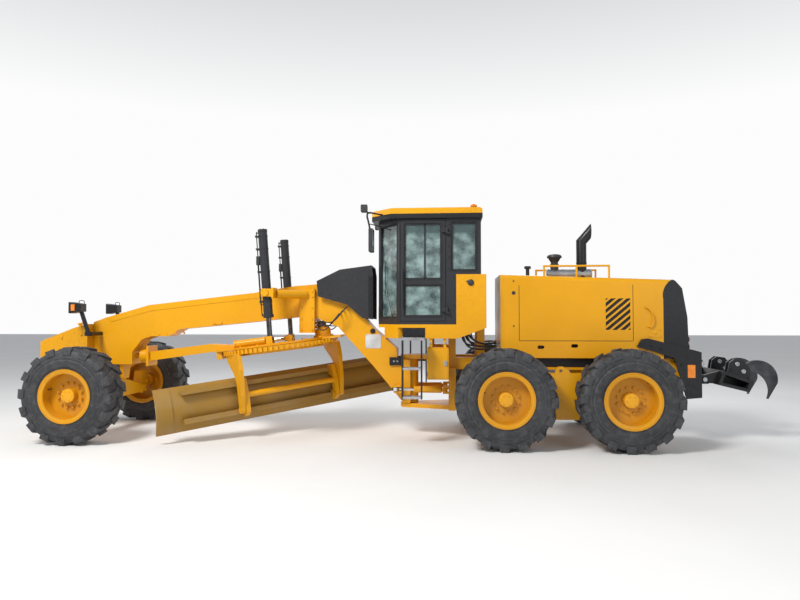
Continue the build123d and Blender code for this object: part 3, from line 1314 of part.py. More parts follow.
# ---------------------------------------------------------------- inside the cab
SEAT_X = TANDEM_X + 1640.0
with BuildPart() as seat_base:
    slab((SEAT_X - 210.0, SEAT_X + 230.0), (-230.0, 230.0), (CAB_FLOOR_Z, CAB_FLOOR_Z + 60.0))
    slab((SEAT_X - 150.0, SEAT_X + 150.0), (-150.0, 150.0), (CAB_FLOOR_Z + 60.0, CAB_FLOOR_Z + 330.0))
    slab((SEAT_X - 260.0, SEAT_X + 240.0), (-240.0, 240.0), (CAB_FLOOR_Z + 330.0, CAB_FLOOR_Z + 370.0))
    side_plate(
        ((-260.0, 1970.0), (-210.0, 1970.0), (-310.0, 2620.0), (-350.0, 2610.0)),
        (-200.0, 200.0),
        SEAT_X,
    )
    for y in both_sides((262.0, 330.0)):
        slab((SEAT_X - 200.0, SEAT_X + 180.0), y, (2190.0, 2240.0))
        slab((SEAT_X - 230.0, SEAT_X - 190.0), y, (1950.0, 2240.0))
        slab((SEAT_X - 230.0, SEAT_X - 190.0), sorted((y[0] * 0.7, y[0] * 1.05)), (1935.0, 1970.0))
write(seat_base, "seat_base")

with BuildPart() as seat_cushion:
    slab((SEAT_X - 190.0, SEAT_X + 250.0), (-245.0, 245.0), (CAB_FLOOR_Z + 370.3, CAB_FLOOR_Z + 500.0))
    fillet(seat_cushion.edges().filter_by(Axis.Z), 60.0)
write(seat_cushion, "seat_cushion")

with BuildPart() as seat_back:
    back = ((-205.0, 2100.3), (-85.0, 2100.3), (-190.0, 2720.0), (-290.0, 2700.0))
    side_plate(back, (-235.0, 235.0), SEAT_X)
write(seat_back, "seat_back")

with BuildPart() as control_console:
    # Front pedestal with the leaning column and the steering wheel.
    column_x = TANDEM_X + CAB_CORNER + 12.0
    column = ((-90.0, CAB_FLOOR_Z), (120.0, CAB_FLOOR_Z), (40.0, 2290.0), (-90.0, 2290.0))
    side_plate(column, (-110.0, 110.0), column_x)
    wheel_plane = Plane(origin=(column_x - 90.0, 0, 2390.0), x_dir=(0, 1, 0), z_dir=(-0.5, 0, 0.87))
    bar((column_x - 20.0, 0, 2260.0), tuple(wheel_plane.origin), 32.0)
    with BuildSketch(wheel_plane) as wheel:
        Circle(205.0)
        Circle(178.0, mode=Mode.SUBTRACT)
        with Locations((0, 0)):
            Rectangle(370.0, 36.0)
            Circle(60.0)
    extrude(wheel.sketch, amount=26.0)
    for side in (1, -1):
        y = sorted((side * 360.0, side * 520.0))
        slab((TANDEM_X + 1560.0, TANDEM_X + 2050.0), y, (CAB_FLOOR_Z, 2150.0))
        for x in (1800.0, 1860.0, 1920.0, 1980.0):
            bar((TANDEM_X + x, side * 440.0, 2140.0), (TANDEM_X + x + 10.0, side * 440.0, 2250.0), 9.0)
            with Locations((TANDEM_X + x + 10.0, side * 440.0, 2255.0)):
                Sphere(18.0)
write(control_console, "control_console")

# ---------------------------------------------------------------- steps, boxes and roof fittings
LADDER_OUT = 1000.0
LADDER_X = (1857.0, 2109.0)
TREADS = (
    # front x, rear x, z
    (2100.0, 1866.0, 640.0),
    (2100.0, 1866.0, 1019.0),
    (2154.0, 1815.0, 1407.0),
)
with BuildPart() as side_ladders:
    for _, side in SIDES:
        y_tread = sorted((side * 850.0, side * LADDER_OUT))
        y_landing = sorted((side * (CAB_HALF - 2.0), side * LADDER_OUT))
        y_box = sorted((side * 600.0, side * (CAB_HALF - 2.0)))
        slab((TANDEM_X + 1822.0, TANDEM_X + 2120.0), y_box, (1395.0, SILL_TOP_Z))
        for front, rear, z in TREADS:
            y = y_landing if z > SILL_LOW_Z - 10.0 else y_tread
            slab((TANDEM_X + rear, TANDEM_X + front), y, (z - 13.0, z + 13.0))
        for x in LADDER_X:
            for y in ((LADDER_OUT - 50.0, LADDER_OUT), (850.0, 890.0)):
                across = sorted((side * y[0], side * y[1]))
                slab((TANDEM_X + x - 9.0, TANDEM_X + x + 9.0), across, (620.0, 1400.0))
write(side_ladders, "side_ladders")

with BuildPart() as side_boxes:
    for _, side in SIDES:
        y = sorted((side * 470.0, side * CAB_HALF))
        slab((TANDEM_X + 1500.0, TANDEM_X + 1790.0), y, (855.0, 1280.0))
        for x in (1530.0, 1720.0):
            across = sorted((side * 650.0, side * 700.0))
            slab((TANDEM_X + x, TANDEM_X + x + 40.0), across, (1280.0, SILL_LOW_Z))
        # Bracket to the frame's cross beam.
        across = sorted((side * RAIL_OUT, side * 560.0))
        slab((TANDEM_X + CROSS_REAR, TANDEM_X + 1500.0), across, (900.0, 1000.0))
write(side_boxes, "side_boxes")

MIRROR_Y = CAB_HALF + 160.0
with BuildPart() as roof_fittings:
    # Amber beacon on its foot.
    for low, high, radius in ((0.0, 20.0, 60.0), (20.0, 75.0, 45.0)):
        foot = (TANDEM_X + 1150.0, CAB_HALF - 160.0, ROOF_TOP_Z + low)
        top = (TANDEM_X + 1150.0, CAB_HALF - 160.0, ROOF_TOP_Z + high)
        bar(foot, top, radius)
    for _, side in SIDES:
        # Mirror on an arm from the front corner of the roof, with a small lamp above it.
        arm_z = ROOF_TOP_Z - 80.0
        front_x = TANDEM_X + CAB_FRONT
        corner = (front_x - 170.0, side * (CAB_HALF - 170.0), arm_z)
        knee = (front_x + 100.0, side * MIRROR_Y, arm_z)
        foot = (front_x + 45.0, side * (MIRROR_Y + 20.0), arm_z - 250.0)
        bar(corner, knee, 14.0)
        bar(knee, foot, 14.0)
        mirror_y = sorted((side * (MIRROR_Y - 80.0), side * (MIRROR_Y + 110.0)))
        slab((front_x, front_x + 60.0), mirror_y, (arm_z - 540.0, arm_z - 230.0))
        lamp_y = sorted((side * (MIRROR_Y - 80.0), side * (MIRROR_Y + 20.0)))
        slab((front_x + 90.0, front_x + 180.0), lamp_y, (arm_z + 5.0, arm_z + 105.0))
    plan_plate(roof_plan, (CAB_TOP_Z, ROOF_TOP_Z), TANDEM_X, Mode.SUBTRACT)
write(roof_fittings, "roof_fittings")

# ---------------------------------------------------------------- ripper
RIPPER_REAR = -1880.0
RIPPER_PIN_X = -1985.0
RIPPER_PIN_Z = 850.0
RIPPER_PIN_R = 30.0
RIPPER_LUG_Y = 300.0
# Lugs above the arms for a lift cylinder.
UPPER_LUG = (
    (RIPPER_REAR + 10.0, 1000.0),
    (RIPPER_REAR + 10.0, 1200.0),
    (-1930.0, 1150.0),
    (-1985.0, 1070.0),
    (-1950.0, 1010.0),
)
with BuildPart() as ripper_frame:
    cheek = (
        (-1040.0, 1300.0),
        (-1100.0, 1400.0),
        (-1185.0, 1412.0),
        (-1800.0, 1252.0),
        (RIPPER_REAR, 1229.0),
        (RIPPER_REAR, 620.0),
        (-1680.0, 600.0),
        (-1600.0, 900.0),
        (-1520.0, 1150.0),
        (-1250.0, 1240.0),
    )
    for y in both_sides((HOOD_HALF + 6.0, HOOD_HALF + 36.0)):
        side_plate(cheek, y, TANDEM_X)
    slab(
        (TANDEM_X + RIPPER_REAR, TANDEM_X + RIPPER_REAR + 40.0),
        (-HOOD_HALF - 30.0, HOOD_HALF + 30.0),
        (640.0, 1225.0),
    )
    for y in both_sides((RAIL_IN, RAIL_OUT)):
        slab((TANDEM_X + RIPPER_REAR + 35.0, TANDEM_X + FRAME_REAR), y, (700.0, 1130.0))
    inner_lugs = both_sides((RIPPER_LUG_Y - 60.0, RIPPER_LUG_Y - 30.0))
    outer_lugs = both_sides((RIPPER_LUG_Y + 30.0, RIPPER_LUG_Y + 60.0))
    for y in inner_lugs + outer_lugs:
        slab((TANDEM_X + RIPPER_PIN_X - 50.0, TANDEM_X + RIPPER_REAR + 5.0), y, (790.0, 910.0))
        side_plate(UPPER_LUG, y, TANDEM_X)
    for side in (1, -1):
        bar(
            (TANDEM_X + RIPPER_PIN_X, side * (RIPPER_LUG_Y - 60.0), RIPPER_PIN_Z),
            (TANDEM_X + RIPPER_PIN_X, side * (RIPPER_LUG_Y + 60.0), RIPPER_PIN_Z),
            RIPPER_PIN_R,
        )
write(ripper_frame, "ripper_frame")

BEAM_WALL = 42.0
BEAM_POCKET = 260.0
CLAMP_PLATE = 26.0
CLAMP_OUTLINE = (
    (-2290.0, 920.0),
    (-2320.0, 1080.0),
    (-2385.0, 1130.0),
    (-2500.0, 1115.0),
    (-2590.0, 1000.0),
    (-2585.0, 825.0),
)
BEAM_SECTION = ((-2209.0, 974.0), (-2592.0, 836.0), (-2545.0, 683.0), (-2137.0, 786.0))
TINE_Y = (-285.0, 285.0)
TINE_HALF = 32.0
with BuildPart() as ripper_beam:
    side_plate(BEAM_SECTION, (-420.0, 420.0), TANDEM_X)
    with BuildSketch(Plane(origin=(TANDEM_X, 421.0, 0), x_dir=(1, 0, 0), z_dir=(0, -1, 0))) as beam_inner:
        with BuildLine():
            Polyline(*BEAM_SECTION, close=True)
        make_face()
        offset(amount=-BEAM_WALL, kind=Kind.INTERSECTION, mode=Mode.REPLACE)
    extrude(beam_inner.sketch, amount=BEAM_POCKET, mode=Mode.SUBTRACT)
    extrude(Pos(0, BEAM_POCKET - 842.0, 0) * beam_inner.sketch, amount=BEAM_POCKET, mode=Mode.SUBTRACT)
    # Clamp plates on both sides of each tine.
    for tine_y in TINE_Y:
        near = TINE_HALF + SEAT
        for across in both_sides((near, near + CLAMP_PLATE)):
            side_plate(CLAMP_OUTLINE, (tine_y + across[0], tine_y + across[1]), TANDEM_X)
    for side in (1, -1):
        arm_y = (side * RIPPER_LUG_Y - 24.0, side * RIPPER_LUG_Y + 24.0)
        arm = ((RIPPER_PIN_X, 795.0), (RIPPER_PIN_X, 905.0), (-2200.0, 965.0), (-2150.0, 795.0))
        side_plate(arm, arm_y, TANDEM_X)
        bar(
            (TANDEM_X + RIPPER_PIN_X, arm_y[0], RIPPER_PIN_Z),
            (TANDEM_X + RIPPER_PIN_X, arm_y[1], RIPPER_PIN_Z),
            55.0,
        )
        bar(
            (TANDEM_X + RIPPER_PIN_X, arm_y[0] - 1.0, RIPPER_PIN_Z),
            (TANDEM_X + RIPPER_PIN_X, arm_y[1] + 1.0, RIPPER_PIN_Z),
            RIPPER_PIN_R + FIT,
            Mode.SUBTRACT,
        )
write(ripper_beam, "ripper_beam")

with BuildPart() as ripper_tines:
    for y in TINE_Y:
        tine_plane = Plane(origin=(TANDEM_X, y + TINE_HALF, 0), x_dir=(1, 0, 0), z_dir=(0, -1, 0))
        with BuildSketch(tine_plane) as hook:
            with BuildLine():
                Line((-2400.0, 1100.0), (-2400.0, 906.0))
                Line((-2400.0, 906.0), (-2592.0, 837.0))
                Line((-2592.0, 837.0), (-2625.0, 960.0))
                ThreePointArc((-2625.0, 960.0), (-2800.0, 860.0), (-2835.0, 585.0))
                Line((-2835.0, 585.0), (-2960.0, 800.0))
                ThreePointArc((-2960.0, 800.0), (-2860.0, 1060.0), (-2568.0, 1070.0))
                Line((-2568.0, 1070.0), (-2400.0, 1100.0))
            make_face()
        extrude(hook.sketch, amount=2 * TINE_HALF)
write(ripper_tines, "ripper_tines")
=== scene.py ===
import json
import logging
import math
from dataclasses import dataclass, field
from enum import Enum
from typing import Iterable, Iterator, Sequence

import bmesh
import bpy
from mathutils import Matrix, Vector


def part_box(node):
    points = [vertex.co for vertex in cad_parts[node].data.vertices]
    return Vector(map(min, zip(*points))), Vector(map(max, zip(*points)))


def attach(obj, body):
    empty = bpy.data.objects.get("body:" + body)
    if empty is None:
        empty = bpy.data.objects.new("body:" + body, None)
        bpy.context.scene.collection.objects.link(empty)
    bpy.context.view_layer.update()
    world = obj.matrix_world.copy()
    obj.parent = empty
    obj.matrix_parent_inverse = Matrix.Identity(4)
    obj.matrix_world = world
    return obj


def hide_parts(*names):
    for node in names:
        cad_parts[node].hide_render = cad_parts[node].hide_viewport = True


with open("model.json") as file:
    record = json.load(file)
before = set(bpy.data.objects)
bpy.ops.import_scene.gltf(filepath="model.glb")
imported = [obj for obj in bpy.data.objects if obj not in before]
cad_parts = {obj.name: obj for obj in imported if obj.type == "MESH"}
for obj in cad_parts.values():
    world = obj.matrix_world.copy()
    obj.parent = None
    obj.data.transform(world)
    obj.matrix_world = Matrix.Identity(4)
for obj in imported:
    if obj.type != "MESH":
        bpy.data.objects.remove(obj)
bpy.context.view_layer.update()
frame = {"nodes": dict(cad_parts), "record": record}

log = logging.getLogger("motor_grader")

Socket, Piece, Material = bpy.types.NodeSocket, bpy.types.Object, bpy.types.Material
Point = tuple[float, float, float]
Span = tuple[float, float]
Section = Sequence[Span]
Coords = Sequence[float]
UP, AHEAD = Vector((0, 0, 1)), Vector((1, 0, 0))
LEFT, RIGHT = 1, -1
SIDES = (("left", LEFT, Vector((0, 1, 0))), ("right", RIGHT, Vector((0, -1, 0))))


# Places taken from the frame
class Place:
    """Named places of the machine, read from the CAD frame, in metres."""

    def __init__(self) -> None:
        """Reads the tandem pivots, the frame hinge and every joint from the frame."""
        low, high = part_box("rear_axle")
        self.tandem_x: float = (low.x + high.x) / 2
        self.joints: dict[str, dict] = {
            joint["name"]: joint for joint in frame["record"]["behaviour"]["joints"]
        }
        self.hinge_x: float = self.joints["frame_articulation"]["pos_m"][0]
        self.ring: Vector = Vector(self.joints["circle_turn"]["pos_m"])
        self.ring_up: Vector = -Vector(self.joints["circle_turn"]["axis"])
        self.blade_left: Vector = Vector(self.joints["blade_side_shift"]["axis"])
        self.blade_ahead: Vector = self.blade_left.cross(self.ring_up).normalized()

    def rear(self, x: float, y: float, z: float) -> Vector:
        """Point x ahead of the tandem pivots, y to the left and z above the ground."""
        return Vector((self.tandem_x + x, y, z))

    def front(self, x: float, y: float, z: float) -> Vector:
        """Point x ahead of the frame hinge, y to the left and z above the ground."""
        return Vector((self.hinge_x + x, y, z))

    def blade(self, ahead: float, left: float, up: float) -> Vector:
        """Point out of the blade's hollow face, toward its left end and up the circle's axis."""
        return self.ring + self.blade_ahead * ahead + self.blade_left * left + self.ring_up * up


PLACE = Place()
rear, front = PLACE.rear, PLACE.front


# Finishes
class Slot(Enum):
    """Material slots of the record."""

    YELLOW = "yellow_paint"
    BLACK = "black_paint"
    RUBBER = "rubber"
    GLASS = "glass"
    STEEL = "steel"
    CAST = "cast_iron"
    WORN = "worn_steel"
    FABRIC = "fabric"
    PLASTIC = "plastic"


class Graph:
    """Small wrapper that adds and links the nodes of one material."""

    def __init__(self, name: str) -> None:
        """Starts an empty material with its output and main shader.

        Args:
            name: Name of the material.
        """
        self.material = bpy.data.materials.new(name)
        self.material.use_nodes = True
        self.tree = self.material.node_tree
        self.tree.nodes.clear()
        self.output = self.add("ShaderNodeOutputMaterial")
        self.shader = self.add("ShaderNodeBsdfPrincipled")
        self.link(self.shader.outputs[0], self.output.inputs["Surface"])
        self.where = self.add("ShaderNodeTexCoord").outputs["Object"]

    def add(self, kind: str, **values: object) -> bpy.types.Node:
        """Adds one node.

        Args:
            kind: Blender's name of the node type.
            values: Attributes to set on it.

        Returns:
            The new node.
        """
        node = self.tree.nodes.new(kind)
        for key, value in values.items():
            setattr(node, key, value)
        return node

    def link(self, source: Socket, target: Socket) -> None:
        """Links one socket to another."""
        self.tree.links.new(source, target)

    def noise(self, scale: float, detail: float = 4.0, stretch: Point = (1, 1, 1)) -> Socket:
        """Noise in the object's own coordinates.

        Args:
            scale: Noise cells per metre.
            detail: Octaves of finer noise.
            stretch: Scale along X, Y and Z.

        Returns:
            The noise value, from 0 to 1.
        """
        mapping = self.add("ShaderNodeMapping")
        mapping.inputs["Scale"].default_value = stretch
        self.link(self.where, mapping.inputs["Vector"])
        node = self.add("ShaderNodeTexNoise")
        node.inputs["Scale"].default_value = scale
        node.inputs["Detail"].default_value = detail
        self.link(mapping.outputs[0], node.inputs["Vector"])
        return node.outputs[0]

    def ramp(self, value: Socket, low: float, high: float, out_low: float = 0.0,
             out_high: float = 1.0) -> Socket:
        """Maps a value from one range to another, clamped.

        Args:
            value: The value to map.
            low: Value that gives out_low.
            high: Value that gives out_high.
            out_low: Result at low.
            out_high: Result at high.

        Returns:
            The mapped value.
        """
        node = self.add("ShaderNodeMapRange")
        for name, number in zip(("From Min", "From Max", "To Min", "To Max"), (low, high, out_low, out_high)):
            node.inputs[name].default_value = number
        self.link(value, node.inputs["Value"])
        return node.outputs[0]

    def times(self, first: Socket, second: Socket) -> Socket:
        """Multiplies two values.

        Args:
            first: One value.
            second: The other value.

        Returns:
            Their product.
        """
        node = self.add("ShaderNodeMath", operation="MULTIPLY")
        self.link(first, node.inputs[0])
        self.link(second, node.inputs[1])
        return node.outputs[0]

    def blend(self, share: Socket, first: object, second: object) -> Socket:
        """Mixes two colours.

        Args:
            share: Share of the second colour.
            first: Colour or socket shown where share is 0.
            second: Colour or socket shown where share is 1.

        Returns:
            The mixed colour.
        """
        node = self.add("ShaderNodeMix", data_type="RGBA")
        self.link(share, node.inputs[0])
        for socket, value in ((node.inputs[6], first), (node.inputs[7], second)):
            if isinstance(value, Socket):
                self.link(value, socket)
            else:
                socket.default_value = (*value, 1.0)
        return node.outputs[2]

    def height(self) -> Socket:
        """Height above the ground in the piece's rest position.

        Returns:
            The height in metres.
        """
        node = self.add("ShaderNodeSeparateXYZ")
        self.link(self.where, node.inputs[0])
        return node.outputs[2]

    def edges(self, low: float = 0.52, high: float = 0.6) -> Socket:
        """Mask that is 1 on sharp outer edges."""
        return self.ramp(self.add("ShaderNodeNewGeometry").outputs["Pointiness"], low, high)

    def bump(self, value: Socket, depth: float, strength: float = 0.6) -> None:
        """Adds relief to the main shader, on top of any relief already there.

        Args:
            value: Height map from 0 to 1.
            depth: Depth of the relief in metres.
            strength: Strength of the effect.
        """
        node = self.add("ShaderNodeBump")
        node.inputs["Strength"].default_value = strength
        node.inputs["Distance"].default_value = depth
        self.link(value, node.inputs["Height"])
        before = self.shader.inputs["Normal"].links
        if before:
            self.link(before[0].from_socket, node.inputs["Normal"])
        self.link(node.outputs[0], self.shader.inputs["Normal"])

    def set(self, **values: float) -> None:
        """Sets constants on the main shader's own sockets; underscores stand for spaces."""
        for name, value in values.items():
            self.shader.inputs[name.replace("_", " ")].default_value = value

    def colour(self, value: Socket) -> None:
        """Uses a socket as the base colour."""
        self.link(value, self.shader.inputs["Base Color"])

    def roughness(self, value: Socket) -> None:
        """Uses a socket as the roughness."""
        self.link(value, self.shader.inputs["Roughness"])


@dataclass(frozen=True)
class Look:
    """Name and slot of a finish; each kind of finish sets its own nodes."""

    name: str
    slot: Slot

    def dress(self, graph: Graph) -> None:
        """Sets the finish's nodes on a new material's graph."""
        raise NotImplementedError(f"{self.name} sets no nodes on {graph.material.name}")

    def build(self) -> Material:
        """Makes the material.

        Returns:
            The material with the finish's nodes.
        """
        graph = Graph(self.name)
        self.dress(graph)
        return graph.material


@dataclass(frozen=True)
class Paint(Look):
    """Enamel with slight colour drift, dust low down, orange peel and rubbed edges."""

    tone: Point
    rub: Point
    dust_share: float
    gloss: Span = (0.28, 0.46)
    coat: float = 0.25
    dust: Point = (0.34, 0.25, 0.15)

    def dress(self, graph: Graph) -> None:
        """Sets the finish's nodes.

        Args:
            graph: The nodes of the new material.
        """
        darker = tuple(channel * 0.94 for channel in self.tone)
        lighter = tuple(min(channel * 1.04, 1.0) for channel in self.tone)
        drift = graph.blend(graph.ramp(graph.noise(1.4, 5), 0.3, 0.7), darker, lighter)
        low_down = graph.ramp(graph.height(), 1.5, 0.2, 0.0, self.dust_share)
        speckle = graph.ramp(graph.noise(3.0, 4), 0.42, 0.68)
        dusty = graph.blend(graph.times(low_down, speckle), drift, self.dust)
        rubbed = graph.times(graph.edges(0.58, 0.7), graph.ramp(graph.noise(24.0, 6), 0.45, 0.7, 0.0, 0.4))
        graph.colour(graph.blend(rubbed, dusty, self.rub))
        graph.roughness(graph.ramp(graph.noise(3.5, 6), 0.3, 0.75, *self.gloss))
        graph.bump(graph.noise(240.0, 2), 0.0006, 0.25)
        graph.set(Coat_Weight=self.coat, Coat_Roughness=0.14, Specular_IOR_Level=0.32)


@dataclass(frozen=True)
class Rubber(Look):
    """Tyre rubber, greyer on its sharp edges where the road rubs it and dusty in patches."""

    name: str = "tyre_rubber"
    slot: Slot = Slot.RUBBER
    dark: Point = (0.017, 0.018, 0.021)
    grey: Point = (0.036, 0.038, 0.043)
    dust: Point = (0.115, 0.11, 0.105)
    rub: Point = (0.13, 0.135, 0.15)

    def dress(self, graph: Graph) -> None:
        """Sets the finish's nodes.

        Args:
            graph: The nodes of the new material.
        """
        base = graph.blend(graph.ramp(graph.noise(5.0, 6), 0.3, 0.7), self.dark, self.grey)
        dusty = graph.blend(graph.ramp(graph.noise(14.0, 9), 0.5, 0.78, 0.0, 0.45), base, self.dust)
        worn = graph.times(graph.edges(0.5, 0.58), graph.ramp(graph.noise(30.0, 4), 0.3, 0.6, 0.0, 0.5))
        graph.colour(graph.blend(worn, dusty, self.rub))
        graph.roughness(graph.ramp(graph.noise(20.0, 5), 0.3, 0.7, 0.55, 0.85))
        graph.bump(graph.noise(160.0, 6), 0.0012, 0.5)


@dataclass(frozen=True)
class Glass(Look):
    """Blue-green tinted safety glass with painted reflections in soft cloudy patches and a painted shadow
    along its top under the roof.
    """

    name: str = "tinted_glass"
    slot: Slot = Slot.GLASS
    shade: Point = (0.07, 0.118, 0.122)
    sky: Point = (0.33, 0.47, 0.46)
    roof_shade: Span = (2.86, 2.8)
    clear: Span = (0.54, 0.84)

    def dress(self, graph: Graph) -> None:
        """Sets the finish's nodes.

        Args:
            graph: The nodes of the new material.
        """
        # Painted reflection: noise patches lighten the glass toward the sky colour and make it less clear;
        # painted shadow: above roof_shade's heights the glass stays dark.
        clouds = graph.noise(5.2, 12, (1.1, 1.1, 1.3))
        below_roof = graph.ramp(graph.height(), *self.roof_shade)
        bright = graph.times(graph.ramp(clouds, 0.36, 0.68), below_roof)
        graph.colour(graph.blend(bright, self.shade, self.sky))
        graph.link(graph.ramp(clouds, 0.35, 0.7, *self.clear), graph.shader.inputs["Alpha"])
        graph.roughness(graph.ramp(graph.noise(30.0, 3), 0.3, 0.7, 0.03, 0.08))
        graph.set(IOR=1.5, Specular_IOR_Level=0.8, Coat_Weight=0.6, Coat_Roughness=0.03)


@dataclass(frozen=True)
class Metal(Look):
    """Bare or worn metal with fine brushing and stains."""

    bright: Point
    dull: Point
    gloss: Span = (0.22, 0.45)
    brush: Point = (1, 1, 14)
    metallic: float = 1.0

    def dress(self, graph: Graph) -> None:
        """Sets the finish's nodes.

        Args:
            graph: The nodes of the new material.
        """
        graph.colour(graph.blend(graph.ramp(graph.noise(7.0, 8), 0.35, 0.7), self.dull, self.bright))
        brushed = graph.noise(90.0, 3, self.brush)
        graph.roughness(graph.ramp(brushed, 0.3, 0.7, *self.gloss))
        graph.bump(brushed, 0.0004, 0.35)
        graph.set(Metallic=self.metallic)


@dataclass(frozen=True)
class Cloth(Look):
    """Woven seat cloth with crossing threads."""

    name: str = "seat_cloth"
    slot: Slot = Slot.FABRIC
    dark: Point = (0.014, 0.015, 0.018)
    grey: Point = (0.035, 0.036, 0.042)
    thread: Point = (0.07, 0.072, 0.08)
    threads_per_metre: float = 160.0

    def dress(self, graph: Graph) -> None:
        """Sets the finish's nodes.

        Args:
            graph: The nodes of the new material.
        """
        warp = graph.add("ShaderNodeTexWave", bands_direction="Y")
        weft = graph.add("ShaderNodeTexWave", bands_direction="X")
        for wave in (warp, weft):
            wave.inputs["Scale"].default_value = self.threads_per_metre
            graph.link(graph.where, wave.inputs["Vector"])
        weave = graph.times(warp.outputs[1], weft.outputs[1])
        drift = graph.blend(graph.ramp(graph.noise(12.0, 4), 0.3, 0.7), self.dark, self.grey)
        graph.colour(graph.blend(weave, drift, self.thread))
        graph.roughness(graph.ramp(weave, 0.0, 1.0, 0.8, 0.95))
        graph.bump(weave, 0.0008, 0.7)
        graph.set(Sheen_Weight=0.4, Sheen_Roughness=0.5)


@dataclass(frozen=True)
class Plastic(Look):
    """Moulded plastic or rubber hose with a fine grain."""

    tone: Point
    gloss: Span = (0.42, 0.62)
    grain: float = 420.0
    glow: float = 0.0

    def dress(self, graph: Graph) -> None:
        """Sets the finish's nodes.

        Args:
            graph: The nodes of the new material.
        """
        lighter = tuple(min(channel * 1.5 + 0.004, 1.0) for channel in self.tone)
        graph.colour(graph.blend(graph.ramp(graph.noise(6.0, 6), 0.35, 0.75), self.tone, lighter))
        graph.roughness(graph.ramp(graph.noise(18.0, 5), 0.3, 0.7, *self.gloss))
        graph.bump(graph.noise(self.grain, 2), 0.0005, 0.35)
        graph.set(Coat_Weight=self.glow, Coat_Roughness=0.08)


class Finish(Enum):
    """Every finish on the machine."""

    YELLOW = Paint("yellow_enamel", Slot.YELLOW, (0.76, 0.352, 0.003), (0.36, 0.2, 0.05), 0.1, coat=0.1)
    # Darker copy of the yellow enamel for the rims and their nuts: the lower tone is painted shade from the
    # tyres over the dished rims.
    RIM_PAINTED_SHADE = Paint("rim_enamel_painted_shade", Slot.YELLOW, (0.6, 0.262, 0.002), (0.34, 0.19, 0.04), 0.08, coat=0.08)
    # Blade enamel: the darker tone is painted shade over the blade, and the heavier dust low down is dirt.
    BLADE_DUST_AND_PAINTED_SHADE = Paint("blade_enamel_dust_and_painted_shade", Slot.YELLOW, (0.34, 0.19, 0.03), (0.26, 0.2, 0.12), 0.35,
                   (0.4, 0.6), 0.05)
    BLACK = Paint("black_enamel", Slot.BLACK, (0.013, 0.0135, 0.016), (0.05, 0.05, 0.055), 0.03,
                  (0.32, 0.5), 0.1)
    CHARCOAL = Paint("charcoal_cab_paint", Slot.BLACK, (0.026, 0.027, 0.032), (0.07, 0.07, 0.08), 0.0,
                     (0.38, 0.55), 0.08)
    EDGE = Paint("cutting_edge_paint", Slot.YELLOW, (0.36, 0.19, 0.03), (0.26, 0.25, 0.24), 0.6,
                 (0.45, 0.7), 0.0)
    RUBBER = Rubber()
    GLASS = Glass()
    ROD = Metal("chromed_rod", Slot.STEEL, (0.78, 0.79, 0.8), (0.6, 0.61, 0.63), (0.08, 0.2))
    OILED = Metal("oiled_rod", Slot.STEEL, (0.2, 0.205, 0.21), (0.1, 0.1, 0.105), (0.12, 0.3))
    STEEL = Metal("galvanised_steel", Slot.STEEL, (0.55, 0.56, 0.58), (0.36, 0.37, 0.39), (0.35, 0.6))
    CAST = Metal("cast_iron", Slot.CAST, (0.06, 0.06, 0.065), (0.03, 0.03, 0.032), (0.5, 0.8),
                 (1, 1, 1), 0.4)
    TINE = Metal("worn_tine_steel", Slot.WORN, (0.085, 0.087, 0.095), (0.03, 0.031, 0.035), (0.35, 0.6),
                 (1, 1, 2), 0.6)
    CLOTH = Cloth()
    PLASTIC = Plastic("black_plastic", Slot.PLASTIC, (0.022, 0.022, 0.025))
    HOSE = Plastic("rubber_line", Slot.PLASTIC, (0.014, 0.014, 0.016), (0.5, 0.7), 260.0)
    SEAL = Plastic("window_seal", Slot.PLASTIC, (0.008, 0.008, 0.01), (0.6, 0.8))
    AMBER = Plastic("amber_lens", Slot.PLASTIC, (0.75, 0.2, 0.01), (0.1, 0.2), 90.0, 0.7)
    RED = Plastic("red_lens", Slot.PLASTIC, (0.42, 0.01, 0.008), (0.1, 0.2), 90.0, 0.7)
    CLEAR = Plastic("clear_lens", Slot.PLASTIC, (0.42, 0.46, 0.48), (0.06, 0.14), 70.0, 0.9)
    BLANK = Plastic("blank_plate", Slot.PLASTIC, (0.46, 0.47, 0.48), (0.35, 0.5), 200.0)
    MIRROR = Metal("mirror_glass", Slot.STEEL, (0.82, 0.86, 0.88), (0.78, 0.82, 0.85), (0.02, 0.05),
                   (1, 1, 1))

    @property
    def material(self) -> Material:
        """The finish's material, made on first use."""
        known = bpy.data.materials.get(self.value.name)
        return known if known else self.value.build()


# Shapes
def around(count: int, start: float = 0.0) -> Iterator[Span]:
    """Cosine and sine of evenly spaced turns round a circle.

    Args:
        count: Number of turns.
        start: Where the first one stands, as a share of a step.

    Yields:
        Cosine and sine of each turn.
    """
    for index in range(count):
        turn = math.tau * (index + start) / count
        yield math.cos(turn), math.sin(turn)


def added(name: str, data: bpy.types.ID) -> Piece:
    """Adds an object to the scene.

    Args:
        name: Its name.
        data: Its mesh, curve, light or camera.

    Returns:
        The new object.
    """
    thing = bpy.data.objects.new(name, data)
    bpy.context.scene.collection.objects.link(thing)
    return thing


def evaluated(piece: Piece) -> Piece:
    """The piece with its modifiers applied."""
    return piece.evaluated_get(bpy.context.evaluated_depsgraph_get())


def axes(along: Coords) -> tuple[Vector, Vector, Vector]:
    """An axis and the two directions square to it."""
    axis, side = Vector(along).normalized(), Vector(along).normalized().orthogonal().normalized()
    return axis, side, axis.cross(side)


def curve_through(points: Sequence[Vector], smooth: int) -> list[Vector]:
    """Smooth line through points.

    Args:
        points: Points that the line passes through.
        smooth: Lengths into which each run is divided.

    Returns:
        The points of the line.
    """
    if len(points) < 3:
        return list(points)
    padded = [points[0] * 2 - points[1], *points, points[-1] * 2 - points[-2]]
    line = []
    for before, first, second, after in zip(padded, padded[1:], padded[2:], padded[3:]):
        for step in range(smooth):
            t = step / smooth
            line.append(0.5 * (first * 2 + (second - before) * t
                               + (before * 2 - first * 5 + second * 4 - after) * t * t
                               + (first * 3 - before - second * 3 + after) * t * t * t))
    return [*line, points[-1]]


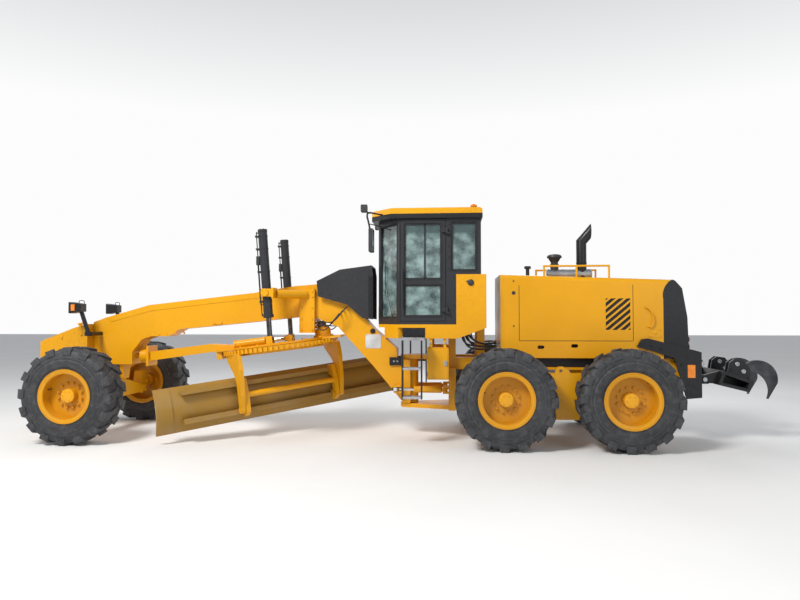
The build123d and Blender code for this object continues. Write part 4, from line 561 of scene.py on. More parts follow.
def round_edges(piece: Piece, width: float, sharp: float, segments: int = 2) -> None:
    """Rounds a piece's sharp edges a little.

    Args:
        piece: The piece.
        width: Width of the rounding.
        sharp: Angle in degrees above which an edge is sharp.
        segments: Steps across each rounded edge.
    """
    bevel = piece.modifiers.new("rounded_edges", "BEVEL")
    bevel.width = width
    bevel.segments = segments
    bevel.limit_method = "ANGLE"
    bevel.angle_limit = math.radians(sharp)
    bevel.use_clamp_overlap = True


class Shape:
    """One mesh piece under construction, in metres, in the machine's frame."""

    tip_radius = 1e-6
    washer_share, head_share = 0.72, 0.56
    washer_foot, washer_top = 0.002, 0.003
    dome_share, dome_rise, dome_foot = 0.82, (0.7, 1.05), -0.002
    least_sideways = 0.05

    def __init__(self) -> None:
        """Starts an empty mesh."""
        self.mesh = bmesh.new()

    def skin(self, loops: Sequence[Sequence[Vector]], closed: bool = False) -> "Shape":
        """Adds a skin over loops of points, each of one length or a single tip.

        Args:
            loops: The loops from one end to the other.
            closed: Whether the last loop joins the first instead of both being capped.

        Returns:
            The shape itself.
        """
        rings = [[self.mesh.verts.new(point) for point in loop] for loop in loops]
        steps = max(len(ring) for ring in rings)
        for first, second in zip(rings, [*rings[1:], rings[0]] if closed else rings[1:]):
            for here, after in ((step, (step + 1) % steps) for step in range(steps)):
                corners = [first[here % len(first)], first[after % len(first)],
                           second[after % len(second)], second[here % len(second)]]
                self.mesh.faces.new(list(dict.fromkeys(corners)))
        for ring in () if closed else (rings[0], rings[-1]):
            if len(ring) > 1:
                self.mesh.faces.new(ring)
        return self

    def block(self, low: Coords, high: Coords) -> "Shape":
        """Adds a box between two opposite corners.

        Args:
            low: One corner.
            high: The opposite corner.

        Returns:
            The shape itself.
        """
        low, high = Vector(low), Vector(high)
        size = Vector(abs(value) for value in high - low)
        matrix = Matrix.Translation((low + high) / 2) @ Matrix.Diagonal((*size, 1))
        bmesh.ops.create_cube(self.mesh, size=1, matrix=matrix)
        return self

    def bar(self, start: Coords, end: Coords, radius: float,
            tip: float | None = None, steps: int = 20) -> "Shape":
        """Adds a round bar or cone.

        Args:
            start: Middle of the first end.
            end: Middle of the second end.
            radius: Radius at the start.
            tip: Radius at the end, the same as at the start if left out.
            steps: Flat sides round the bar.

        Returns:
            The shape itself.
        """
        start, end = Vector(start), Vector(end)
        run = end - start
        matrix = Matrix.Translation((start + end) / 2) @ run.to_track_quat("Z", "Y").to_matrix().to_4x4()
        bmesh.ops.create_cone(self.mesh, cap_ends=True, segments=steps, radius1=radius,
                              radius2=radius if tip is None else tip, depth=run.length, matrix=matrix)
        return self

    def plate(self, outline: Iterable[Coords], thickness: Coords) -> "Shape":
        """Adds a flat plate with any outline.

        Args:
            outline: Corners of one face.
            thickness: Vector to the other face.

        Returns:
            The shape itself.
        """
        face = self.mesh.faces.new([self.mesh.verts.new(point) for point in outline])
        made = bmesh.ops.extrude_face_region(self.mesh, geom=[face])["geom"]
        moved = [item for item in made if isinstance(item, bmesh.types.BMVert)]
        bmesh.ops.translate(self.mesh, verts=moved, vec=Vector(thickness))
        return self

    def lathe(self, section: Section, centre: Coords, along: Coords,
              steps: int = 48) -> "Shape":
        """Adds a closed form turned round an axis.

        Args:
            section: Points as (radius, distance along the axis), from one end to the other.
            centre: Where the axis distance is 0.
            along: Direction of the axis.
            steps: Flat sides round the axis.

        Returns:
            The shape itself.
        """
        axis, side, other = axes(along)
        loops = []
        for radius, far in section:
            middle = Vector(centre) + axis * far
            loops.append([middle] if radius < self.tip_radius else [
                middle + (side * across + other * up) * radius for across, up in around(steps)])
        return self.skin(loops)

    def ring(self, section: Section, centre: Coords, along: Coords,
             steps: int = 72) -> "Shape":
        """Adds a ring whose section closes on itself.

        Args:
            section: Corners of the section as (radius, distance along the axis).
            centre: Where the axis distance is 0.
            along: Direction of the axis.
            steps: Flat sides round the axis.

        Returns:
            The shape itself.
        """
        axis, side, other = axes(along)
        outs = [side * across + other * up for across, up in around(steps)]
        return self.skin([[Vector(centre) + out * radius + axis * far for radius, far in section]
                          for out in outs], closed=True)

    def bolt(self, foot: Coords, out: Coords, across: float = 0.024,
             high: float = 0.012) -> "Shape":
        """Adds a hexagon head on a washer.

        Args:
            foot: Point on the surface.
            out: Direction out of the surface.
            across: Width of the head.
            high: Height of the head.

        Returns:
            The shape itself.
        """
        foot, out = Vector(foot), Vector(out).normalized()
        self.bar(foot - out * self.washer_foot, foot + out * self.washer_top, across * self.washer_share,
                 steps=16)
        return self.bar(foot, foot + out * high, across * self.head_share, steps=6)

    def disc(self, middle: Vector, out: Vector, radius: float, high: float) -> "Shape":
        """Adds a round boss with a softly domed face.

        Args:
            middle: Middle of its foot.
            out: Direction out of the surface.
            radius: Radius of the boss.
            high: Height of the boss.

        Returns:
            The shape itself.
        """
        shoulder, crown = self.dome_rise
        return self.lathe([(radius, self.dome_foot), (radius, high * shoulder),
                           (radius * self.dome_share, high), (0.0, high * crown)], middle, out, 28)

    def tube(self, points: Sequence[Coords], radius: float, steps: int = 12,
             smooth: int = 6) -> "Shape":
        """Adds a round tube along a smooth line through points.

        Args:
            points: Points that the line passes through.
            radius: Radius of the tube.
            steps: Flat sides round the tube.
            smooth: Lengths into which each run is divided.

        Returns:
            The shape itself.
        """
        path = curve_through([Vector(point) for point in points], smooth)
        loops, up = [], UP
        for index, here in enumerate(path):
            ahead = (path[min(index + 1, len(path) - 1)] - path[max(index - 1, 0)]).normalized()
            side = ahead.cross(up)
            side = (side if side.length > self.least_sideways else ahead.orthogonal()).normalized()
            up = side.cross(ahead).normalized()
            loops.append([here + (side * across + up * rise) * radius for across, rise in around(steps)])
        return self.skin(loops)

    def gasket(self, corners: Sequence[Vector], out: Vector, width: float, high: float) -> "Shape":
        """Adds a flat frame inside an outline.

        Args:
            corners: The outline's corners in order.
            out: Direction out of the surface.
            width: Width of the frame.
            high: Height of the frame above the surface.

        Returns:
            The shape itself.
        """
        following = [*corners[1:], corners[0]]
        inner = [corner + ((ahead - corner).normalized() + (behind - corner).normalized()) * width
                 for corner, ahead, behind in zip(corners, following, [corners[-1], *corners[:-1]])]
        for first, second, third, fourth in zip(corners, following, [*inner[1:], inner[0]], inner):
            self.plate((first, second, third, fourth), out * high)
        return self

    def made(self, name: str, finish: Finish, body: str, bevel: float = 0.0015, sharp: float = 35.0,
             segments: int = 2) -> Piece:
        """Turns the mesh into a piece of the machine.

        Args:
            name: Name of the piece.
            finish: Its finish.
            body: The body it rides on.
            bevel: Width of the rounding on its edges, none if 0.
            sharp: Angle in degrees above which an edge is sharp.
            segments: Steps across each rounded edge.

        Returns:
            The new object.
        """
        bmesh.ops.recalc_face_normals(self.mesh, faces=self.mesh.faces)
        data = bpy.data.meshes.new(name)
        self.mesh.to_mesh(data)
        self.mesh.free()
        piece = added(name, data)
        data.materials.append(finish.material)
        for face in data.polygons:
            face.use_smooth = True
        if bevel > 0:
            round_edges(piece, bevel, sharp, segments)
        piece.modifiers.new("even_shading", "WEIGHTED_NORMAL").keep_sharp = True
        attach(piece, body)
        return piece


# Wheels
@dataclass
class Tyre:
    """Wide traction tyre with deep slanted lugs."""

    node: str
    body: str
    centre: Vector
    outer: float = 0.65
    casing: float = 0.624
    half: float = 0.2215
    bead: float = 0.3605
    inner: float = 0.33
    lugs: int = 16
    lug_width: float = 0.116
    slant: float = 0.1
    flank: float = 0.006

    def casing_section(self) -> list[Span]:
        """Half section of the casing from bead to crown, as (radius, distance from the middle)."""
        half, bead = self.half, self.bead
        return [
            (bead, half - 0.0235), (bead + 0.012, half - 0.016), (bead + 0.022, half - 0.017),
            (bead + 0.03, half - 0.007), (bead + 0.06, half - 0.001), (0.455, half), (0.478, half - 0.001),
            (0.482, half - 0.005), (0.505, half - 0.006), (0.51, half - 0.003), (0.535, half - 0.008),
            (0.57, half - 0.014), (0.598, half - 0.026), (0.615, half - 0.052), (self.casing, 0.11),
            (self.casing, 0.0),
        ]

    def lug_stations(self) -> list[tuple[float, float, float, float, float]]:
        """Stations along a lug: distance from the middle, top radius, foot radius, trail, half width."""
        half, outer, slant, wide = self.half, self.outer, self.slant, self.lug_width / 2
        return [
            (0.006, outer - 0.003, 0.6, 0.0, wide * 0.62),
            (0.045, outer, 0.6, slant * 0.25, wide * 0.8),
            (0.12, outer, 0.6, slant * 0.66, wide),
            (0.18, outer - 0.001, 0.596, slant * 0.9, wide * 1.06),
            (half - 0.014, outer - 0.008, 0.58, slant, wide * 1.08),
            (half - 0.003, outer - 0.028, 0.552, slant, wide * 1.02),
            (half, outer - 0.082, 0.548, slant, wide * 0.72),
        ]

    def lug(self, side: int, turn: float) -> list[list[Vector]]:
        """Loops of one lug.

        Args:
            side: Which half of the tread it is on.
            turn: Its angle round the axle at its inner end.

        Returns:
            The loops, from the tread's middle outward.
        """
        loops = []
        for far, top, foot, trail, wide in self.lug_stations():
            reaches = ((foot, -wide - self.flank), (top, -wide), (top, wide), (foot, wide + self.flank))
            angles = [(radius, turn - (trail + reach) / self.outer) for radius, reach in reaches]
            loops.append([self.centre + Vector((math.sin(angle), 0, math.cos(angle))) * radius
                          + Vector((0, side * far, 0)) for radius, angle in angles])
        return loops

    def build(self) -> None:
        """Builds the tyre in place of its CAD solid."""
        section = self.casing_section()
        mirrored = [(radius, -far) for radius, far in reversed(section[:-1])]
        inside = [(self.inner, -self.half + 0.03), (self.inner, self.half - 0.03)]
        shape = Shape().ring([*section, *mirrored, *inside], self.centre, (0, 1, 0), 120)
        for side, start in ((LEFT, 0.25), (RIGHT, 0.75)):
            for index in range(self.lugs):
                shape.skin(self.lug(side, math.tau * (index + start) / self.lugs))
        piece = shape.made(self.node.replace("tyre_", "tyre_tread_"), Finish.RUBBER, self.body, 0.004, 40)
        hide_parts(self.node)


@dataclass
class RimTrim:
    """Nuts, lock ring, hub cover and valve on one rim."""

    name: str
    centre: Vector
    side: int
    out: Vector
    disc: float = 0.045
    hub: float = 0.12
    nuts: int = 12
    nut_circle: float = 0.165
    cover_bolts: int = 6
    cover_circle: float = 0.062
    cover: Section = ((0.088, -0.004), (0.088, 0.006), (0.08, 0.011), (0.03, 0.013), (0.0, 0.013))
    lock: Section = ((0.3185, 0.03), (0.344, 0.03), (0.352, 0.016), (0.345, 0.004), (0.322, 0.006))

    def build(self) -> None:
        """Builds the trim on the rim's dished face."""
        body, out = "wheel_" + self.name, self.out
        nuts = Shape()
        for across, up in around(self.nuts, 0.5):
            foot = self.centre + Vector((across, 0, up)) * self.nut_circle + out * self.disc
            nuts.bolt(foot, out, 0.034, 0.026).bar(foot, foot + out * 0.036, 0.009, steps=10)
        # The nuts take the rim enamel, darkened as painted shade.
        nuts.made("wheel_nuts_" + self.name, Finish.RIM_PAINTED_SHADE, body, 0.001)
        low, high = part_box("rim_" + self.name)
        edge = abs((high.y if self.side > 0 else low.y) - self.centre.y)
        lock = Shape().ring([(radius, edge - depth) for radius, depth in self.lock], self.centre, out, 96)
        lock.made("lock_ring_" + self.name, Finish.YELLOW, body)
        face = [(radius, self.hub + rise) for radius, rise in self.cover]
        cover = Shape().lathe(face, self.centre, out, 40)
        for across, up in around(self.cover_bolts):
            cover.bolt(self.centre + Vector((across, 0, up)) * self.cover_circle + out * (self.hub + 0.011),
                       out, 0.016, 0.009)
        cover.made("hub_cover_" + self.name, Finish.YELLOW, body, 0.001)
        stem = self.centre + Vector((0.262, 0, 0.08)) + out * (self.disc + 0.002)
        valve = Shape().bar(stem, stem + out * 0.05 + Vector((0.02, 0, 0)), 0.006, 0.005, 12)
        valve.bar(stem + out * 0.045 + Vector((0.018, 0, 0)), stem + out * 0.066 + Vector((0.026, 0, 0)),
                  0.0075, steps=12)
        valve.made("valve_" + self.name, Finish.HOSE, body, 0.0008)


@dataclass
class Wheels:
    """All six wheels."""

    rows: tuple[str, ...] = ("front", "middle", "rear")

    def build(self) -> None:
        """Builds each tyre and its rim's trim."""
        for row in self.rows:
            for side_name, side, out in SIDES:
                name = f"{row}_{side_name}"
                centre = Vector(PLACE.joints["spin_" + name]["pos_m"])
                Tyre("tyre_" + name, "wheel_" + name, centre).build()
                RimTrim(name, centre, side, out).build()
        log.info("wheels: %d tyres with rims", 2 * len(self.rows))


# Finishes of the CAD pieces
@dataclass
class BodyWork:
    """Finishes of the CAD pieces that keep their own shape."""

    edge_width: float = 0.005
    fine_edge_width: float = 0.0025
    sharp: float = 38.0
    fine: tuple[str, ...] = ("rim", "lift", "articulation", "hood")
    finishes: dict[Finish, tuple[str, ...]] = field(default_factory=lambda: {
        # Rim and blade finishes are darker copies of the yellow enamel: painted shade.
        Finish.RUBBER: ("tyre",), Finish.RIM_PAINTED_SHADE: ("rim",), Finish.BLADE_DUST_AND_PAINTED_SHADE: ("blade",),
        Finish.BLACK: ("hood_louvres", "radiator_housing", "engine_stacks", "head_lamps", "ripper_frame",
                       "ripper_beam", "roof_fittings", "side_ladders"),
        Finish.CHARCOAL: ("hose_cover", "cab_frame", "cab_door", "lift_barrel"),
        Finish.GLASS: ("cab_glass",), Finish.CAST: ("engine_block", "rear_axle"), Finish.OILED: ("lift_rod",),
        Finish.ROD: ("articulation_rod",), Finish.TINE: ("ripper_tines",),
        Finish.PLASTIC: ("seat_base", "control_console"), Finish.CLOTH: ("seat_cushion", "seat_back"),
    })

    def finish_of(self, node: str) -> Finish:
        """Finish of one CAD node.

        Args:
            node: Name of the node.

        Returns:
            Its finish, yellow enamel unless the table says otherwise.
        """
        plain = node.removesuffix("_left").removesuffix("_right")
        plain = plain.split("_")[0] if plain.startswith(("tyre_", "rim_")) else plain
        return next((finish for finish, names in self.finishes.items() if plain in names), Finish.YELLOW)

    def build(self) -> None:
        """Gives each CAD node its finish and slightly rounded edges."""
        for name, piece in frame["nodes"].items():
            piece.data.materials.clear()
            piece.data.materials.append(self.finish_of(name).material)
            if not name.startswith(("tyre", "cab_glass")):
                width = self.fine_edge_width if name.startswith(self.fine) else self.edge_width
                round_edges(piece, width, self.sharp)
        log.info("bodywork: %d CAD nodes finished", len(frame["nodes"]))


# Hood
@dataclass
class HoodTrim:
    """What stands on the hood and is fixed to its sides, and its exhaust."""

    body: str = "rear_body"
    half: float = 0.5
    plug_x: float = 0.605
    plugs: Section = ((2.195, 0.012), (2.034, 0.026), (1.577, 0.012))
    handle: Section = ((-1.17, 1.83), (-1.232, 1.775), (-1.262, 1.69), (-1.252, 1.61), (-1.205, 1.57))
    handle_out: float = 0.03
    seam_x: Span = (0.53, -1.0)
    seam_z: Span = (1.375, 2.14)
    seam_width: float = 0.0038
    latch_x: Span = (-1.375, -1.195)
    latch_z: Span = (1.425, 1.545)
    latch_high: float = 0.005
    latch_margin: float = 0.02
    stack_x: float = -0.42
    stack_foot: float = 2.235
    stack_radius: float = 0.072
    stack_wall: float = 0.005
    stack_sides: int = 40
    bend_z: float = 2.79
    mouth_x: float = -0.5525
    lean: Span = (-0.65, 0.76)
    bands: tuple[float, ...] = (2.275, 2.47)
    cleaner: Section = (
        (0.058, 0.0), (0.058, 0.205), (0.064, 0.215), (0.064, 0.228), (0.052, 0.236), (0.052, 0.262),
        (0.075, 0.3), (0.088, 0.318), (0.106, 0.324), (0.106, 0.338), (0.098, 0.356), (0.07, 0.372),
        (0.0, 0.38))
    cleaner_x: float = -0.035
    vanes: int = 24
    cap: Section = ((0.026, 0.0), (0.026, 0.15), (0.048, 0.156), (0.048, 0.186), (0.04, 0.192), (0.0, 0.194))
    cap_x: float = 0.35
    drum: Section = ((0.0, -0.004), (0.062, 0.0), (0.078, 0.012), (0.078, 0.628), (0.062, 0.64), (0.0, 0.644))
    drum_at: Point = (-0.56, 0, 2.318)
    drum_bands: tuple[float, ...] = (0.03, 0.2, 0.4, 0.6)
    fins: int = 44
    lamp_z: Span = (1.3, 1.4)
    lamp_cup: Section = ((0.044, 0.0), (0.044, 0.01), (0.038, 0.013), (0.0, 0.013))
    lamp_lens: Section = ((0.037, 0.012), (0.036, 0.02), (0.024, 0.026), (0.0, 0.028))
    strip_bolts: int = 9

    def sides(self) -> None:
        """Builds plugs, handles, latch plates and seams on both sides; the seams are dark strips sunk in the
        grooves as painted shade.
        """
        plugs, handles, latches, seams = Shape(), Shape(), Shape(), Shape()
        (back, ahead), (low, high) = self.latch_x, self.latch_z
        for _, side, out in SIDES:
            for z, radius in self.plugs:
                plugs.disc(rear(self.plug_x, side * self.half, z), out, radius, 0.005)
            path = [rear(x, side * (self.half + self.handle_out), z) for x, z in self.handle]
            handles.tube([path[0] - out * 0.034, *path, path[-1] - out * 0.034], 0.0085)
            for foot in (path[0], path[-1]):
                handles.disc(foot - out * self.handle_out, out, 0.018, 0.006)
            face = side * (self.half + self.latch_high)
            latches.block(rear(back, side * self.half, low), rear(ahead, face, high))
            for x in (back + self.latch_margin, ahead - self.latch_margin):
                for z in (low + self.latch_margin, high - self.latch_margin):
                    latches.bolt(rear(x, face, z), out, 0.014, 0.006)
            latches.disc(rear(sum(self.latch_x) / 2, face, sum(self.latch_z) / 2), out, 0.022, 0.008)
            # Dark strips sunk in the seam grooves: painted shade of the gaps between the hood panels.
            sunk, flush, wide = side * (self.half - 0.005), side * (self.half - 0.001), self.seam_width
            for x in self.seam_x:
                seams.block(rear(x - wide, sunk, self.seam_z[0]), rear(x + wide, flush, self.seam_z[1]))
            seams.block(rear(self.seam_x[0], sunk, self.seam_z[0] - wide),
                        rear(self.seam_x[1], flush, self.seam_z[0] + wide))
        seams.made("hood_seam_painted_shade_strips", Finish.SEAL, self.body, 0.0)
        plugs.made("hood_plugs", Finish.PLASTIC, self.body, 0.0006)
        handles.made("hood_handles", Finish.YELLOW, self.body, 0.0)
        latches.made("hood_latches", Finish.YELLOW, self.body, 0.001)

    def stack_loop(self, level: str, radius: float) -> list[Vector]:
        """One loop of the exhaust's wall.

        Args:
            level: "foot", "bend", "mouth" or "deep", the floor of the opening.
            radius: Radius of the wall there.

        Returns:
            The loop's points.
        """
        lean, rise = self.lean
        loop = []
        for across, aside in around(self.stack_sides):
            here = rear(self.stack_x, 0, self.stack_foot) + Vector((across * radius, aside * radius, 0))
            if level == "deep":
                here.z = self.bend_z - 0.2
            elif level != "foot":
                here.z = self.bend_z - lean / (1 + rise) * across * radius
            if level == "mouth":
                here += Vector((lean, 0, rise)) * ((rear(self.mouth_x, 0, 0).x - here.x) / lean)
            loop.append(here)
        return loop

    def exhaust(self) -> None:
        """Builds the exhaust pipe with its mitred bend and upright mouth."""
        radius, inside = self.stack_radius, self.stack_radius - self.stack_wall
        shape = Shape().skin([self.stack_loop(level, radius) for level in ("foot", "bend", "mouth")]
                             + [self.stack_loop(level, inside) for level in ("mouth", "bend", "deep")])
        band = [(radius - 0.001, 0.0), (radius + 0.005, 0.003), (radius + 0.005, 0.021),
                (radius - 0.001, 0.024)]
        for z in self.bands:
            middle = rear(self.stack_x, 0, z)
            shape.ring(band, middle, UP, self.stack_sides)
            shape.block(middle + Vector((-0.01, radius, 0.002)),
                        middle + Vector((0.01, radius + 0.02, 0.022)))
        pipe = shape.made("exhaust_pipe", Finish.BLACK, self.body, 0.0012, 25)
        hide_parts("engine_stacks")

    def top(self) -> None:
        """Builds the air pre-cleaner, the tank cap and the silencer drum."""
        cleaner = Shape().lathe(self.cleaner, rear(self.cleaner_x, 0, 2.237), UP, 56)
        for across, aside in around(self.vanes):
            out = Vector((across, aside, 0))
            low = rear(self.cleaner_x, 0, 2.5) + out * 0.053
            high = low + UP * 0.052
            cleaner.plate((low, high, high + out * 0.034, low + out * 0.003), out.cross(UP) * 0.003)
        cleaner.made("air_pre_cleaner", Finish.PLASTIC, self.body, 0.001)
        Shape().lathe(self.cap, rear(self.cap_x, 0, 2.25), UP, 32).made(
            "tank_cap", Finish.PLASTIC, self.body, 0.001)
        drum = Shape().lathe(self.drum, rear(*self.drum_at), AHEAD)
        for far in self.drum_bands:
            drum.ring([(0.077, far), (0.083, far + 0.003), (0.083, far + 0.022), (0.077, far + 0.025)],
                      rear(*self.drum_at), AHEAD, 48)
        drum.made("silencer_drum", Finish.STEEL, self.body, 0.001)

    def back(self) -> None:
        """Builds the cooler behind the grille, the tail lamps and the black strips of the rails."""
        core = Shape().block(rear(-1.6, -0.44, 1.215), rear(-1.57, 0.44, 2.05))
        for index in range(self.fins):
            y = -0.43 + index * 0.02
            core.block(rear(-1.606, y - 0.002, 1.22), rear(-1.6, y + 0.002, 2.045))
        core.made("cooler_core", Finish.CAST, self.body, 0.0)
        lamps, rings, strips = Shape(), Shape(), Shape()
        for _, side, out in SIDES:
            for z in self.lamp_z:
                rings.lathe(self.lamp_cup, rear(-1.724, side * 0.452, z), -AHEAD, 32)
                lamps.lathe(self.lamp_lens, rear(-1.724, side * 0.452, z), -AHEAD, 32)
            strips.block(rear(-1.38, side * 0.43, 1.015), rear(0.78, side * 0.436, 1.139))
            for index in range(self.strip_bolts):
                strips.bolt(rear(-1.3 + index * 0.25, side * 0.436, 1.112), out, 0.016, 0.007)
        lamps.made("tail_lenses", Finish.RED, self.body, 0.0)
        rings.made("tail_lamp_cups", Finish.PLASTIC, self.body, 0.0008)
        strips.made("rail_strips", Finish.BLACK, self.body, 0.001)

    def build(self) -> None:
        """Builds all of the hood's trim."""
        for part in (self.sides, self.exhaust, self.top, self.back):
            part()
        log.info("hood: plugs, handles, latches, exhaust, pre-cleaner, silencer, cooler and tail lamps")


# Cab
@dataclass
class CabTrim:
    """Door glass, seals, roof lip, wipers, and fittings of the cab."""

    body: str = "rear_body"
    half: float = 0.72
    door_x: Span = (1.595, 2.099)
    panes: tuple[Span, Span] = ((1.71, 2.136), (2.216, 2.975))
    divider_x: float = 1.82
    hinge_x: float = 1.56
    hinge_z: Span = (1.8, 2.88)
    side_x: Span = (1.12, 1.46)
    side_z: Span = (2.33, 2.99)
    front_x: float = 2.5
    front_half: float = 0.25
    corner_x: float = 2.168
    window_z: Span = (1.69, 2.99)
    rear_x: float = 1.06
    sunk: float = 0.02
    lip: tuple[float, float, float, float, float] = (2.572, 2.29, 1.038, 0.481, 0.762)
    hatch: tuple[float, float, float, float, float] = (2.34, 2.16, 1.2, 0.4, 0.56)
    hatch_bolts: Section = (
        (2.25, 0.6), (2.25, -0.6), (1.12, -0.66), (1.7, 0.66), (1.7, -0.66), (2.45, 0.0), (1.09, 0.0))
    cap: Section = ((0.044, 0.0), (0.044, 0.006), (0.036, 0.01), (0.034, 0.022), (0.026, 0.027), (0.0, 0.027))
    beacon: Point = (1.15, 0.56, 3.19)
    beacon_foot: Section = ((0.06, 0.0), (0.06, 0.01), (0.054, 0.02), (0.0, 0.02))
    beacon_lens: Section = (
        (0.045, 0.02), (0.045, 0.048), (0.041, 0.06), (0.03, 0.069), (0.014, 0.0735), (0.0, 0.0745))
    beacon_ribs: int = 24

    def upright(self, x: Span, y: float, z: Span, grow: float) -> list[Vector]:
        """Corners of an upright rectangle beside the cab.

        Args:
            x: Its ends, measured from the tandem pivots.
            y: Its distance to the left.
            z: Its lower and upper edges.
            grow: How far it is widened on every edge.

        Returns:
            The four corners in order.
        """
        (back, ahead), (low, high) = (x[0] - grow, x[1] + grow), (z[0] - grow, z[1] + grow)
        return [rear(back, y, low), rear(ahead, y, low), rear(ahead, y, high), rear(back, y, high)]

    def doors(self) -> None:
        """Builds the panes, seals, divider, lock and hinge bolts of both doors."""
        for name, side, out in SIDES:
            half = self.half
            glass, seal, divider, lock = Shape(), Shape(), Shape(), Shape()
            face, inside, back = side * half, side * (half - self.sunk), side * (half - 0.026)
            for pane in self.panes:
                glass.block(self.upright(self.door_x, back, pane, 0.006)[0],
                            self.upright(self.door_x, inside, pane, 0.006)[2])
                seal.gasket(self.upright(self.door_x, inside, pane, 0.004), out, 0.022, 0.014)
                seal.gasket(self.upright(self.door_x, face, pane, 0.014), out, 0.012, 0.003)
            divider.block(rear(self.divider_x - 0.01, side * (half - 0.021), self.panes[1][0]),
                          rear(self.divider_x + 0.01, side * (half - 0.006), self.panes[1][1]))
            raised = side * (half + 0.012)
            lock.block(rear(2.108, face, 2.14), rear(2.146, raised, 2.245))
            lock.disc(rear(2.127, raised, 2.215), out, 0.012, 0.006)
            lock.block(rear(2.114, raised, 2.15), rear(2.14, side * (half + 0.022), 2.196))
            for z in self.hinge_z:
                for up in (0.018, -0.018):
                    lock.bolt(rear(self.hinge_x, side * (half + 0.03), z + up), out, 0.015, 0.007)
            body = "door_" + name
            glass.made("door_glass_" + name, Finish.GLASS, body, 0.0)
            seal.made("door_seals_" + name, Finish.SEAL, body, 0.0008)
            divider.made("door_divider_" + name, Finish.SEAL, body, 0.002)
            lock.made("door_lock_" + name, Finish.PLASTIC, body, 0.002)

    def corner_wall(self, side: int) -> tuple[Vector, Vector, Vector, float]:
        """Frame of an angled front side wall.

        Args:
            side: Which side of the cab it is on.

        Returns:
            Its middle at the ground, direction along it to the rear, direction out of it, and half
            its length.
        """
        along = Vector((self.corner_x - self.front_x, side * (self.half - self.front_half), 0))
        middle = rear((self.front_x + self.corner_x) / 2, side * (self.half + self.front_half) / 2, 0)
        out = Vector((self.half - self.front_half, side * (self.front_x - self.corner_x), 0)).normalized()
        return middle, along.normalized(), out, along.length / 2

    def windows(self) -> None:
        """Builds the seals of the fixed windows and the wipers."""
        seal, wiper = Shape(), Shape()
        for _, side, out in SIDES:
            side_face = side * (self.half - self.sunk)
            seal.gasket(self.upright(self.side_x, side_face, self.side_z, 0), out, 0.02, 0.014)
            seal.gasket(self.upright(self.side_x, side * self.half, self.side_z, 0.012), out, 0.012, 0.003)
            seal.gasket(self.upright((1.515, 2.178), side * 0.662, (1.622, 3.058), 0), out, 0.055, 0.01)
            middle, along, facing, reach = self.corner_wall(side)
            half, (low, high) = reach - 0.065, self.window_z
            corners = [middle + along * (share * half) + UP * z
                       for share, z in ((-1, low), (1, low), (1, high), (-1, high))]
            seal.gasket([corner - facing * self.sunk for corner in corners], facing, 0.018, 0.014)
            seal.gasket([corner + along * share * 0.012 for corner, share in zip(corners, (-1, 1, 1, -1))],
                        facing, 0.012, 0.003)
            pivot = middle + along * (half * 0.55) + UP * 1.725 + facing * 0.004
            tip = middle - along * (half * 0.35) + UP * 2.26 + facing * 0.014
            wiper.disc(pivot, facing, 0.016, 0.018)
            wiper.tube([pivot + facing * 0.014, (pivot + tip) / 2 + facing * 0.014, tip], 0.005)
            wiper.bar(tip + UP * 0.24 - facing * 0.006, tip - UP * 0.24 - facing * 0.006, 0.006, steps=8)
        for x, outward, half, (low, high) in ((self.front_x, 1, 0.205, self.window_z),
                                              (self.rear_x, -1, 0.61, self.side_z)):
            corners = [rear(x, -half, low), rear(x, half, low), rear(x, half, high), rear(x, -half, high)]
            facing = Vector((outward, 0, 0))
            seal.gasket([corner - facing * self.sunk for corner in corners], facing, 0.02, 0.014)
            pivot = rear(x, 0.05, low - 0.03) + facing * 0.002
            tip = rear(x, -0.02, low + 0.33) + facing * 0.012
            wiper.disc(pivot, facing, 0.02, 0.02)
            wiper.tube([pivot + facing * 0.016, (pivot + tip) / 2 + facing * 0.014, tip], 0.006)
            wiper.bar(tip + UP * 0.22, tip - UP * 0.22, 0.006, steps=8)
        seal.made("window_seals", Finish.SEAL, self.body, 0.0008)
        wiper.made("window_wipers", Finish.PLASTIC, self.body, 0.001)

    def roof_plate(self, size: Coords, z: float, thickness: float) -> Shape:
        """A roof plate with two angled front corners.

        Args:
            size: Its front, corners and rear along X, half its front and half its width.
            z: Height of its lower face.
            thickness: Its thickness.

        Returns:
            The shape.
        """
        ahead, corner, back, half_front, half = size
        outline = ((ahead, -half_front), (ahead, half_front), (corner, half), (back, half), (back, -half),
                   (corner, -half))
        return Shape().plate([rear(x, y, z) for x, y in outline], (0, 0, thickness))

    def roof(self) -> None:
        """Builds the black lip under the roof, the raised hatch, the wall's bolts and the filler caps."""
        self.roof_plate(self.lip, 3.042, 0.066).made("roof_lip", Finish.BLACK, self.body, 0.004)
        hatch = self.roof_plate(self.hatch, 3.188, 0.02)
        for x, y in self.hatch_bolts:
            hatch.bolt(rear(x, y, 3.19), UP, 0.022, 0.012)
        hatch.made("roof_hatch", Finish.YELLOW, self.body, 0.006)
        fixings, caps = Shape(), Shape()
        for _, side, out in SIDES:
            for index in range(5):
                fixings.bolt(rear(1.49, side * self.half, 2.36 + index * 0.15), out, 0.014, 0.006)
            for z in (1.66, 1.86, 2.06, 2.24):
                fixings.bolt(rear(1.42, side * (self.half - 0.0005), z), out, 0.016, 0.006)
            middle = rear(1.2, side * self.half, 2.167)
            caps.lathe(self.cap, middle, out, 36)
            caps.block(middle + Vector((0.02, 0, 0.01)), middle + Vector((0.06, side * 0.01, 0.026)))
        fixings.made("cab_bolts", Finish.BLACK, self.body, 0.0008)
        caps.made("filler_caps", Finish.PLASTIC, self.body, 0.001)

